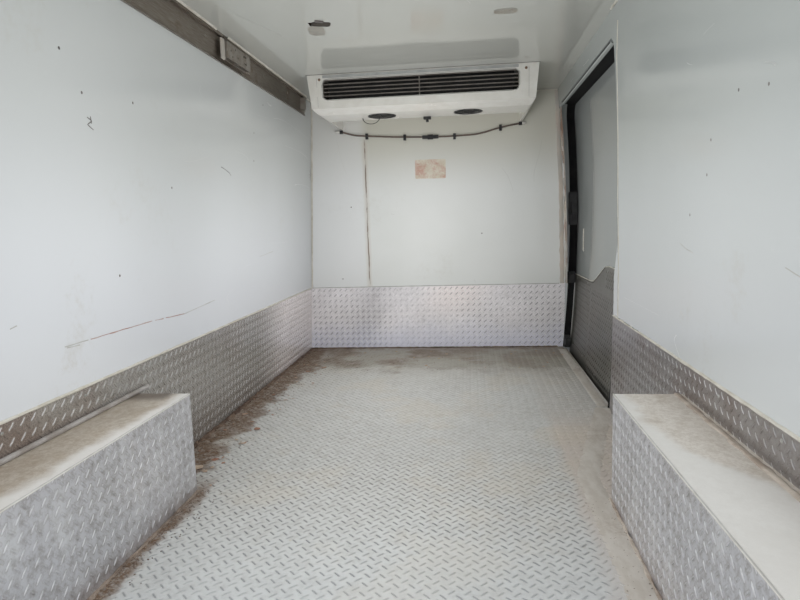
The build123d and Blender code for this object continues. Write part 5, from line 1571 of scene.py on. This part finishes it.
def loop_marks(centre: Mark, size: tuple[float, float], corner: float) -> list[Mark]:
    """Marks a line round a rectangle with cut corners, back to the first mark.

    Args:
        centre: its middle.
        size: its width and height.
        corner: how much of each side a corner takes.

    Returns:
        The marks.
    """
    half_u, half_v = size[0] / 2, size[1] / 2
    marks = []
    for sign_u, sign_v in ((1, 1), (-1, 1), (-1, -1), (1, -1)):
        first = (centre[0] + sign_u * half_u, centre[1] + sign_v * (half_v - corner))
        second = (centre[0] + sign_u * (half_u - corner), centre[1] + sign_v * half_v)
        marks += [first, second] if sign_u * sign_v > 0 else [second, first]
    return [*marks, marks[0]]


class Joints:
    """The sealant beads, seams and edges where the linings and plates meet."""

    def build(self) -> None:
        """Lays every bead and seam."""
        for piece in (*self.corners(), *self.kick_edges(), *self.doorway(), *self.housing()):
            piece.build()

    def corners(self) -> Iterable[Strips]:
        """Yields the beads along the room's corners."""
        kick_top = KICK_TOP_Z
        ceiling_left = left_wall_x(CEILING_Z)
        yield Strips("ceiling_bead_left", Faces.ceiling, [[(ceiling_left + 0.003, REAR_Y),
                                                           (ceiling_left + 0.003, FRONT_Y)]], 0.01, 0.0035,
                     Finishes.sealant, wobble=0.25)
        yield Strips("ceiling_bead_front", Faces.ceiling, [[(-0.748, FRONT_Y - 0.003), (-0.595, FRONT_Y - 0.003)],
                                                           [(0.595, FRONT_Y - 0.003), (0.775, FRONT_Y - 0.003)]], 0.01,
                     0.0035, Finishes.sealant, wobble=0.25)
        yield Strips("track_lip", Faces.ceiling, [[(-0.731, REAR_Y), (-0.731, 0.2)], [(-0.731, 0.31), (-0.731, 1.54)]],
                     0.009, 0.006, Finishes.sealant, "stainless")
        # The header strip wears the right side's darker copy of the lining: painted shade.
        yield Strips("header_strip", Faces.header, [[(0.794, 0.33), (0.794, 1.66)]], 0.022, 0.004, Finishes.shaded_right_wall,
                     flat=True)
        yield Strips("ceiling_bead_right", Faces.ceiling, [[(0.773, REAR_Y), (0.773, 0.29)]], 0.01, 0.0035,
                     Finishes.sealant, wobble=0.25)
        yield Strips("bulkhead_bead_left", Faces.bulkhead, [[(left_wall_x(kick_top) + 0.003, kick_top),
                                                             (left_wall_x(CEILING_Z) + 0.003, CEILING_Z)]], 0.012,
                     0.004, Finishes.sealant, wobble=0.35)
        yield Strips("bulkhead_edge_strip", Faces.bulkhead, [[(0.806, kick_top), (0.797, 1.2), (0.77, CEILING_Z)]],
                     0.026, 0.0022, Finishes.dirty_sealant, wobble=0.3, flat=True)

    def kick_edges(self) -> Iterable[Strips]:
        """Yields the pale beads over the kick plates and the worn edges of the wheel boxes."""
        top = KICK_TOP_Z
        yield Strips("kick_left_bead", Faces.left, [[(REAR_Y, top), (FRONT_Y - 0.004, top)]], 0.008, 0.0055,
                     Finishes.sealant, wobble=0.35)
        yield Strips("kick_right_bead", Faces.right, [[(REAR_Y, top), (0.405, top)]], 0.008, 0.0055, Finishes.sealant,
                     wobble=0.35)
        yield Strips("kick_bulkhead_bead", Faces.bulkhead, [[(-0.802, top), (0.788, top)]], 0.005, 0.0045,
                     Finishes.faint_line, wobble=0.35)
        for side in Side:
            x = side.value * (BOX_HALF + 0.0015)
            label = side.name.lower()
            yield Strips(f"box_{label}_edge", Faces.box_top, [[(x, BOX_REAR_Y), (x, BOX_FRONT_Y)]], 0.004, 0.0012,
                         Finishes.worn_edge, "tread_plate", wobble=0.15)
            wall = side.value * 0.803
            # The right box's corner strips wear dirt and painted shade.
            in_corner = Finishes.grit if side is Side.LEFT else Finishes.soft_dirt
            at_foot = Finishes.foot_dirt if side is Side.LEFT else Finishes.soft_dirt
            yield Strips(f"box_{label}_bead", Faces.box_top, [[(wall, BOX_REAR_Y), (wall, BOX_FRONT_Y)]],
                         0.009 if side is Side.LEFT else 0.017, 0.003, in_corner, "tread_plate", wobble=0.5)
            foot = side.value * (BOX_HALF - 0.004)
            share = 1.0 if side is Side.LEFT else 0.8
            yield Strips(f"box_{label}_dirt", Faces.floor, [[(foot, BOX_REAR_Y), (foot, BOX_FRONT_Y)]], 0.012 * share,
                         0.0035 * share, at_foot, "tread_plate", wobble=0.9, step=0.005, across=10)
            corner = (side.value * (BOX_HALF + 0.002), FLOOR_Z + 0.004), (side.value * (BOX_HALF + 0.002), BOX_TOP_Z)
            yield Strips(f"box_{label}_corner", Faces.box_front, [corner], 0.004, 0.001, Finishes.worn_edge,
                         "tread_plate")
        yield Strips("floor_dirt_left", Faces.floor, [[(-0.814, BOX_FRONT_Y), (-0.814, FRONT_Y)]], 0.026, 0.006,
                     Finishes.grit, "tread_plate", wobble=0.9, step=0.006, across=10)
        yield Strips("floor_dirt_front", Faces.floor, [[(-0.8, FRONT_Y - 0.012), (0.776, FRONT_Y - 0.012)]], 0.022,
                     0.005, Finishes.grit, "tread_plate", wobble=0.8, step=0.008, across=10)
        yield Strips("floor_strip_right", Faces.floor, [[(0.592, BOX_REAR_Y), (0.592, -0.3), (0.7, 0.1),
                                                         (0.79, 0.42)]], 0.07, 0.0017, Finishes.bare_strip,
                     "tread_plate", wobble=0.12, flat=True)
        yield Strips("floor_strip_door", Faces.floor, [[(0.792, 0.44), (0.792, 1.63)]], 0.044, 0.0017,
                     Finishes.bare_strip, "tread_plate", wobble=0.08, flat=True)

    def doorway(self) -> Iterable[Strips]:
        """Yields the edges round the side doorway and on its door."""
        edge = [(0.213, 1.71), (0.263, 1.583), (0.331, 1.067), (0.330, 0.600)]
        yield Strips("doorway_edge", Faces.right, [edge], 0.007, 0.0022, Finishes.sealant, wobble=0.35)
        crack = [(u + 0.006, v) for u, v in edge[1:]]
        yield Strips("doorway_crack", Faces.right, [crack], 0.0026, 0.0012, Finishes.faint_line, wobble=0.7)
        lower = [(0.337, 1.00), (0.339, 0.86)], [(0.338, 0.76), (0.337, 0.66)]
        yield Strips("doorway_split", Faces.right, lower, 0.0034, 0.0014, Finishes.crack, wobble=0.8)
        yield Strips("door_kick_edge", Faces.door, [[(1.7, 0.652), (1.26, 0.654), (1.165, 0.66), (1.09, 0.682),
                                                     (0.94, 0.741), (0.875, 0.759), (0.8, 0.764), (0.45, 0.764)]],
                     0.0055, 0.0042, Finishes.sealant, wobble=0.5)
        yield Strips("door_panel_lines", Faces.door, [[(0.62, 0.78), (0.62, 1.64)],
                                                      [(1.29, 0.67), (1.21, 1.22), (1.22, 1.62)]], 0.005, 0.0008,
                     Finishes.door_line)
        yield Strips("door_kick_shadow", Faces.door, [[(1.7, 0.646), (1.165, 0.65), (0.88, 0.758)]], 0.004, 0.0043,
                     Finishes.crack, wobble=0.4)
        yield Strips("door_bar", Faces.door, [[(1.5, 0.935), (1.5, 0.812), (1.47, 0.804)]], 0.01, 0.004,
                     Finishes.sealant, step=0.01)
        yield Strips("door_front_trim", Faces.jamb, [[(0.004, 0.655), (0.004, 0.2)]], 0.007, 0.003, Finishes.bright,
                     "stainless", wobble=0.2, step=0.01)
        yield Strips("pillar_glue", Faces.right, [[(1.674, 0.6), (1.674, 1.655)]], 0.086, 0.0014, Finishes.glue,
                     wobble=0.1, flat=True)
        yield Strips("pillar_rests", Faces.right, [[(1.69, 1.24), (1.684, 1.33)], [(1.668, 1.4), (1.672, 1.43)],
                                                   [(1.672, 1.13), (1.676, 1.17)], [(1.7, 0.7), (1.704, 0.86)]], 0.022,
                     0.0032, Finishes.glue_rest, wobble=0.9, step=0.006, flat=True)
        yield Strips("pillar_rust", Faces.right, [[(1.712, 0.63), (1.706, 0.9), (1.71, 1.1)],
                                                  [(1.65, 0.98), (1.655, 1.1)], [(1.708, 1.38), (1.7, 1.52)]], 0.009,
                     0.0036, Finishes.patch, wobble=0.9, step=0.008)

    def housing(self) -> Iterable[Strips]:
        """Yields the seams of the evaporator's housing."""
        yield Strips("housing_seam", Faces.ceiling, [[(-0.596, HOUSING_LIP_Y - 0.002),
                                                      (0.596, HOUSING_LIP_Y - 0.002)]], 0.004, 0.0012, Finishes.crack,
                     "white_moulding", wobble=0.3)
        yield Strips("housing_end_seams", Faces.housing, [[(-0.541, 1.612), (-0.541, 1.755)],
                                                          [(0.541, 1.612), (0.541, 1.755)]], 0.0018, 0.0006,
                     Finishes.faint_line, "white_moulding")
        yield Strips("grille_lip", Faces.housing, [loop_marks((-0.01, 1.698), (1.01, 0.104), 0.016)], 0.0035, 0.0012,
                     Finishes.faint_line, "white_moulding")


class Fixings:
    """The screws, plates and small fittings."""

    def build(self) -> None:
        """Places every small fitting."""
        for piece in (*self.screws(), *self.plates(), *self.bars()):
            piece.build()

    def screws(self) -> Iterable[Studs]:
        """Yields the rows of screw heads."""
        top = KICK_TOP_Z - 0.024
        spaced = [(-1.60 + 0.30 * step, top) for step in range(11)]
        for label, surface, places in (
                ("left", Faces.left, spaced),
                ("right", Faces.right, [(u, v) for u, v in spaced if u < 0.36]),
                ("bulkhead", Faces.bulkhead, [(-0.72 + 0.24 * step, top) for step in range(7)]),
                ("door", Faces.door, [(0.52, 0.742), (0.82, 0.742), (0.52, 0.20), (0.95, 0.20), (1.30, 0.22),
                                      (1.62, 0.22), (1.30, 0.635), (1.62, 0.635)])):
            yield Studs(f"kick_{label}_screws", on_sheet(surface), places, 0.005, 0.0022, Finishes.bright, "stainless")
        yield Studs("housing_screws", Faces.housing, [(-0.527, 1.749), (0.527, 1.749)], 0.007, 0.003, Finishes.rusty,
                    "stainless")
        yield Studs("clip_screws", Faces.bulkhead, [(-0.4, 1.52), (-0.16, 1.503), (0.15, 1.501), (0.432, 1.532)],
                    0.0035, 0.0022, Finishes.bright, "stainless")
        # Painted shade: the bracket's slots are flat dark discs.
        yield Studs("bracket_slots", Faces.bracket, [(0.325, 1.724), (0.34, 1.702), (0.375, 1.738), (0.4, 1.712),
                                                     (0.47, 1.734)], 0.0065, 0.0006, Finishes.crack, "stainless")
        yield Studs("track_screws", Faces.track, [(y, 1.72) for y in (-1.5, -1.1, -0.7, -0.3, 0.1, 0.75, 1.15)], 0.006,
                    0.0022, Finishes.dusty_steel, "stainless")
        rows = [(u, 0.10) for u in (-1.55, -1.05, -0.55, -0.05, 0.45, 0.95, 1.45)]
        yield Studs("skin_left_screws", Faces.left_skin, rows, 0.007, 0.0025, Finishes.bright, "stainless")
        yield Studs("rear_screws", Faces.rear, [(side * 0.975, z) for side in (-1.0, 1.0) for z in (0.22, 0.42, 0.92,
                                                                                                    1.32)], 0.007,
                    0.0025, Finishes.bright, "stainless")

    def plates(self) -> Iterable[Plate]:
        """Yields the blank plates, the worn patch, the reflectors and the hole's flap."""
        yield Plate("worn_patch", Faces.bulkhead, (-0.005, 1.331), (0.192, 0.118), 0.0006, 0.008, Finishes.patch,
                    turn=-0.012)
        yield Plate("housing_blank", Faces.housing, (-0.551, 1.688), (0.03, 0.048), 0.0015, 0.004, Finishes.moulding,
                    "white_moulding")
        yield Plate("housing_top_strip", Faces.housing, (-0.01, 1.762), (1.0, 0.014), 0.0008, 0.003,
                    Finishes.grey_strip, "white_moulding")
        yield Plate("track_plate", Faces.track, (0.262, 1.716), (0.034, 0.08), 0.003, 0.003, Finishes.dirty_sealant,
                    "stainless")
        yield Plate("ceiling_flap", Faces.ceiling, (-0.752, 0.255), (0.018, 0.11), 0.01, 0.006, Finishes.sealant,
                    turn=0.16)
        # Painted shade: the pale flap hanging in the hole is painted dark.
        yield Plate("lamp_hole_flap", Faces.ceiling, (-0.322, 0.196), (0.034, 0.012), 0.006, 0.003, Finishes.scratch,
                    turn=0.5)
        # Grey patches on the ceiling beside the two lamp holes.
        yield Plate("lamp_hole_smear", Faces.ceiling, (-0.36, 0.315), (0.066, 0.12), 0.0006, 0.03, Finishes.smear,
                    turn=0.12)
        # Painted shade: the torn hole's dark opening is a dark plate on the ceiling.
        yield Plate("lamp_hole_tear", Faces.ceiling, (-0.324, 0.236), (0.074, 0.052), 0.001, 0.014, Finishes.crack,
                    turn=0.3)
        yield Plate("right_hole_smear", Faces.ceiling, (0.38, 0.232), (0.088, 0.062), 0.0006, 0.026, Finishes.smear)
        for side in Side:
            label = side.name.lower()
            surface = Faces.left_skin if side is Side.LEFT else Faces.right_skin
            for place, length in (("front", 1.30), ("middle", 0.10), ("rear", -1.62)):
                if side is Side.RIGHT and place == "front":
                    continue
                yield Plate(f"reflector_{label}_{place}", surface, (length, 0.3), (0.085, 0.032), 0.006, 0.006,
                            Finishes.amber, "lamp_lens")
            yield Plate(f"rear_reflector_{label}", Faces.rear, (side.value * 0.9, 0.196), (0.08, 0.034), 0.006, 0.006,
                        Finishes.red, "lamp_lens")

    def bars(self) -> Iterable[Bar | Strips]:
        """Yields the wire loop under the housing, the hose's sleeves and the drip rails."""
        yield Bar("wire_loop", (-0.351, 1.3, BELLY_Z), (-0.257, 1.3, BELLY_Z), 0.0024, Finishes.black, "black_plastic",
                  loop_drop=0.033)
        yield Bar("hose_sleeve_left", (-0.6, 1.716, 1.584), (-0.566, 1.716, 1.582), 0.0085, Finishes.moulding,
                  "white_moulding")
        yield Bar("hose_sleeve_right", (0.552, 1.716, 1.582), (0.584, 1.716, 1.584), 0.0085, Finishes.moulding,
                  "white_moulding")
        for side in Side:
            surface = Faces.left_skin if side is Side.LEFT else Faces.right_skin
            yield Strips(f"drip_rail_{side.name.lower()}", surface, [[(REAR_Y + 0.02, 1.7), (1.74, 1.7)]], 0.012,
                         0.007, Finishes.wall, "wall_panel")


class Wear:
    """The marks on the walls and the loose dirt on the floor."""

    def build(self) -> None:
        """Lays every mark and every crumb."""
        for piece in (*self.marks(), *self.spots(), *self.crumbs()):
            piece.build()

    def marks(self) -> Iterable[Strips]:
        """Yields the scratches and scribbles on the linings."""
        yield Strips("left_scribbles", Faces.left, [[(-0.627, 1.31), (-0.606, 1.303), (-0.626, 1.291), (-0.601, 1.28)],
                                                    [(-0.612, 1.314), (-0.608, 1.296)],
                                                    [(0.263, 1.254), (0.31, 1.246), (0.352, 1.236), (0.369, 1.226)]],
                     0.0028, 0.0005, Finishes.scratch, wobble=0.7, step=0.004)
        yield Strips("left_long_scratch", Faces.left, [[(-0.66, 0.716), (-0.4, 0.713), (-0.33, 0.712)],
                                                       [(-0.31, 0.711), (-0.255, 0.708)],
                                                       [(-0.24, 0.708), (-0.1, 0.701)]], 0.0026, 0.0004,
                     Finishes.red_mark, wobble=0.9, step=0.008)
        yield Strips("left_marks", Faces.left, [[(-0.095, 0.701), (0.171, 0.716)], [(-0.769, 0.717), (-0.67, 0.716)],
                                                [(-0.761, 0.713), (-0.708, 0.71)], [(-0.952, 0.795), (-0.93, 0.8)],
                                                [(1.05, 1.02), (1.12, 1.04)], [(0.72, 0.86), (0.93, 0.875)]], 0.0025,
                     0.0004, Finishes.faint_line, wobble=0.6)
        yield Strips("right_marks", Faces.right, [[(-0.393, 0.924), (-0.44, 0.91), (-0.496, 0.902)],
                                                  [(-0.426, 0.722), (-0.41, 0.735), (-0.4, 0.715)],
                                                  [(-1.15, 0.86), (-0.98, 0.9)]], 0.003, 0.0004, Finishes.faint_line,
                     wobble=0.6)
        star = [[(1.715, 1.330), (1.715 - 0.05 * math.cos(turn), 1.330 + 0.05 * math.sin(turn))]
                for turn in (-1.2, -0.7, -0.2, 0.4, 1.1)]
        yield Strips("corner_star", Faces.left, star, 0.0022, 0.0004, Finishes.scratch, wobble=0.4)
        yield Strips("ceiling_marks", Faces.ceiling, [[(-0.6, 0.05), (-0.5, 0.4)], [(0.1, -0.3), (0.25, 0.12)]],
                     0.0022, 0.0004, Finishes.faint_line, wobble=0.6)

    def spots(self) -> Iterable[Studs]:
        """Yields the small dark and pale spots."""
        left = [(-0.727, 1.459), (-0.644, 1.369), (-0.395, 1.388), (-0.165, 1.148), (-0.505, 0.876), (0.797, 1.594),
                (0.663, 1.443), (0.657, 1.314)]
        yield Studs("left_spots", Faces.left, left, 0.0042, 0.0006, Finishes.scratch)
        right = [(-0.774, 1.265), (-0.908, 1.249), (-0.618, 1.180), (-0.591, 1.099), (-0.472, 1.002)]
        yield Studs("right_spots", Faces.right, right, 0.0042, 0.0006, Finishes.scratch)
        yield Studs("bulkhead_spots", Faces.bulkhead, [(-0.594, 0.649), (-0.52, 1.11), (0.31, 0.92)], 0.004, 0.0006,
                    Finishes.scratch)

    def crumbs(self) -> Iterable[Crumbs]:
        """Yields the crumbs and leaf flakes along the floor's edges."""
        left, right = LEFT_FOOT + 0.01, RIGHT_FOOT - 0.01
        yield Crumbs("crumbs_left", Faces.floor, (left, -0.6), (BOX_FRONT_Y, FRONT_Y), 420, (0.001, 0.0042),
                     Finishes.soil, "tread_plate", crowd=1.8)
        yield Crumbs("grit_left", Faces.floor, (left, -0.74), (BOX_FRONT_Y, FRONT_Y), 900, (0.001, 0.0036),
                     Finishes.soil, "tread_plate", crowd=1.3)
        yield Crumbs("grit_box", Faces.floor, (-BOX_HALF + 0.002, -0.596), (BOX_REAR_Y, BOX_FRONT_Y), 800,
                     (0.001, 0.003), Finishes.soil, "tread_plate", crowd=1.3)
        yield Crumbs("crumbs_far", Faces.floor, (left, right), (1.1, FRONT_Y - 0.01), 260, (0.001, 0.0036),
                     Finishes.grit, "tread_plate")
        yield Crumbs("crumbs_boxes", Faces.floor, (-BOX_HALF + 0.004, -0.54), (BOX_REAR_Y, BOX_FRONT_Y), 260,
                     (0.001, 0.0038), Finishes.grit, "tread_plate", crowd=2.2)
        yield Crumbs("crumbs_right", Faces.floor, (BOX_HALF - 0.004, 0.55), (BOX_REAR_Y, BOX_FRONT_Y), 260,
                     (0.0008, 0.0026), Finishes.foot_dirt, "tread_plate", crowd=2.2)
        yield Crumbs("leaf_bits", Faces.floor, (left, -0.58), (BOX_FRONT_Y, FRONT_Y - 0.02), 70, (0.004, 0.013),
                     Finishes.old_leaf, crowd=1.5, flake=True)
        yield Crumbs("old_leaves", Faces.floor, (-0.78, -0.6), (-0.4, 1.3), 16, (0.011, 0.025), Finishes.old_leaf,
                     crowd=1.1, flake=True)
        yield Crumbs("leaf_bits_far", Faces.floor, (-0.55, right), (1.15, FRONT_Y - 0.02), 34, (0.0035, 0.012),
                     Finishes.leaf, flake=True)
        yield Crumbs("pale_bits", Faces.floor, (left, 0.6), (-1.4, FRONT_Y - 0.02), 60, (0.0015, 0.0036),
                     Finishes.sealant, crowd=1.6, flake=True)


class Dressing:
    """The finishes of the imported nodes."""

    by_finish: dict[str, tuple[str, ...]] = {
        "wall": ("left_side", "right_sill"),
        # The right side's nodes wear the darker copy of the lining: painted shade.
        "shaded_right_wall": ("right_rear_side", "right_header", "right_pillar"),
        "ceiling": ("roof",),
        "side_door": ("side_door",),
        "rear_door": ("rear_door_left", "rear_door_right"),
        "rear_frame": ("rear_frame",),
        "bulkhead": ("bulkhead_left", "bulkhead_right"),
        "board": ("floor_board",),
        "floor": ("floor_plate", "side_door_well"),
        "kick_left": ("kick_left",),
        "kick_right": ("kick_right",),
        "kick_bulkhead": ("kick_bulkhead",),
        "kick_door": ("side_door_kick",),
        "box": ("wheel_box_left", "wheel_box_right"),
        "steel": ("chassis_rails", "cross_members", "outriggers", "wheel_tub_left", "wheel_tub_right",
                  "door_hinges_left", "door_hinges_right", "frame_hinges"),
        "stainless": ("wall_track",),
        "dusty_bar": ("wheel_box_bar",),
        "dusty_steel": ("track_brackets",),
        "bright": ("side_door_rail", "lock_bars_left"),
        "black": ("side_mouldings", "rear_bumper", "door_handle_right", "fan_mounts", "fan_left", "fan_right",
                  "side_door_catches", "side_door_grip", "hose_clips"),
        "rubber": ("side_door_seal", "plug_seal_left", "plug_seal_right"),
        "moulding": ("evaporator_housing",),
        "fins": ("evaporator_coil",),
        "slat": ("evaporator_grille",),
        "hose": ("drain_hose",),
        "lens": ("tail_lamps",),
    }

    def dress(self, nodes: dict[str, bpy.types.Object]) -> None:
        """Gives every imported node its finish.

        Args:
            nodes: the frame's objects by node name.
        """
        for label, names in self.by_finish.items():
            finish: Finish = getattr(Finishes, label)
            for name in names:
                piece = nodes[name]
                piece.data.materials.clear()
                piece.data.materials.append(finish.material())
                log.info("%s wears %s", name, finish.name)


@dataclass
class Studio:
    """The floor, the lights, the world and the camera."""

    camera_place: Place = (0.233, -2.205, 1.008)
    yaw: float = 6.62
    pitch: float = -7.26
    roll: float = -1.80
    lens: float = 27.63
    floor_reach: float = 30.0
    fill_radius: float = 0.28

    def build(self) -> None:
        """Sets everything round the object."""
        self.floor()
        self.world()
        self.lights()
        self.camera()
        bpy.context.scene.view_settings.view_transform = "Standard"

    def floor(self) -> None:
        """Lays the plain floor under the rails."""
        flat = bmesh.new()
        bmesh.ops.create_grid(flat, x_segments=1, y_segments=1, size=self.floor_reach)
        made = mesh_object("studio_floor", flat, FloorFinish("studio_floor_tone"))

    def world(self) -> None:
        """Lights evenly from all round, and shows white behind the object."""
        world = bpy.data.worlds.new("studio_world")
        bpy.context.scene.world = world
        world.use_nodes = True
        graph = Graph(world.node_tree)
        background = world.node_tree.nodes["Background"]
        rays = graph.node("ShaderNodeLightPath")
        seen = graph.most(rays.outputs["Is Camera Ray"],
                          graph.most(rays.outputs["Is Glossy Ray"], rays.outputs["Is Transmission Ray"]))
        graph.feed(background.inputs["Strength"], graph.ramp(seen, 0.0, 1.0, 0.68, 1.0))
        background.inputs["Color"].default_value = (1.0, 1.0, 1.0, 1.0)

    def area(self, name: str, place: Place, aim: Place, size: tuple[float, float], power: float) -> None:
        """Adds a soft area light that the camera doesn't see.

        Args:
            name: the light's name.
            place: where it stands.
            aim: where it points.
            size: its width and height.
            power: its power in watts.
        """
        made = self.lamp(name, "AREA", place, power)
        made.data.shape = "RECTANGLE"
        made.data.size, made.data.size_y = size
        made.rotation_euler = (Vector(aim) - Vector(place)).to_track_quat("-Z", "Y").to_euler()

    @staticmethod
    def lamp(name: str, kind: str, place: Place, power: float) -> bpy.types.Object:
        """Adds a light that neither the camera nor a glossy surface sees.

        Args:
            name: the light's name.
            kind: its type.
            place: where it stands.
            power: its power in watts.

        Returns:
            The light.
        """
        data = bpy.data.lights.new(name, kind)
        data.energy = power
        made = bpy.data.objects.new(name, data)
        made.location = place
        made.visible_camera = False
        made.visible_glossy = False
        bpy.context.scene.collection.objects.link(made)
        return made

    def lights(self) -> None:
        """Puts daylight at the open rear doors, soft light over the body and round fills in the load space."""
        self.area("doorway_light", (0.0, -3.6, 1.5), (0.0, 0.5, 0.9), (3.0, 2.4), 22.0)
        self.area("doorway_glow", (0.0, -1.66, 1.0), (0.0, 1.7, 0.95), (1.45, 1.35), 3.8)
        self.area("overhead_light", (-2.5, -2.0, 5.0), (0.0, 0.0, 1.0), (4.0, 4.0), 40.0)
        for name, place, power in (("rear_fill", (-0.06, -0.75, 0.98), 10.9),
                                   ("middle_fill", (-0.12, 0.35, 0.95), 7.6),
                                   ("front_fill", (-0.12, 1.05, 0.92), 6.3)):
            self.lamp(name, "POINT", place, power).data.shadow_soft_size = self.fill_radius

    def camera(self) -> None:
        """Stands the camera between the open rear doors."""
        yaw, pitch, roll = (math.radians(a) for a in (self.yaw, self.pitch, self.roll))
        level = Vector((math.cos(yaw), math.sin(yaw), 0.0))
        forward = Vector((-math.sin(yaw) * math.cos(pitch), math.cos(yaw) * math.cos(pitch), math.sin(pitch)))
        over = level.cross(forward)
        right = math.cos(roll) * level + math.sin(roll) * over
        up = math.cos(roll) * over - math.sin(roll) * level
        data = bpy.data.cameras.new("doorway_camera")
        data.lens = self.lens
        data.sensor_width = 36.0
        data.clip_start = 0.02
        made = bpy.data.objects.new("doorway_camera", data)
        turn = Matrix((right, up, -forward)).transposed().to_4x4()
        made.matrix_world = Matrix.Translation(self.camera_place) @ turn
        bpy.context.scene.collection.objects.link(made)
        bpy.context.scene.camera = made


def main() -> None:
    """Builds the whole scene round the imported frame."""
    logging.basicConfig(level=logging.INFO, format="%(name)s: %(message)s")
    random.seed(7)
    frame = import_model()
    SharedEffects().build()
    Dressing().dress(frame["nodes"])
    for group in (TreadPlates(), Joints(), Fixings(), Wear()):
        group.build()
    Studio().build()


if __name__ == "__main__":
    main()
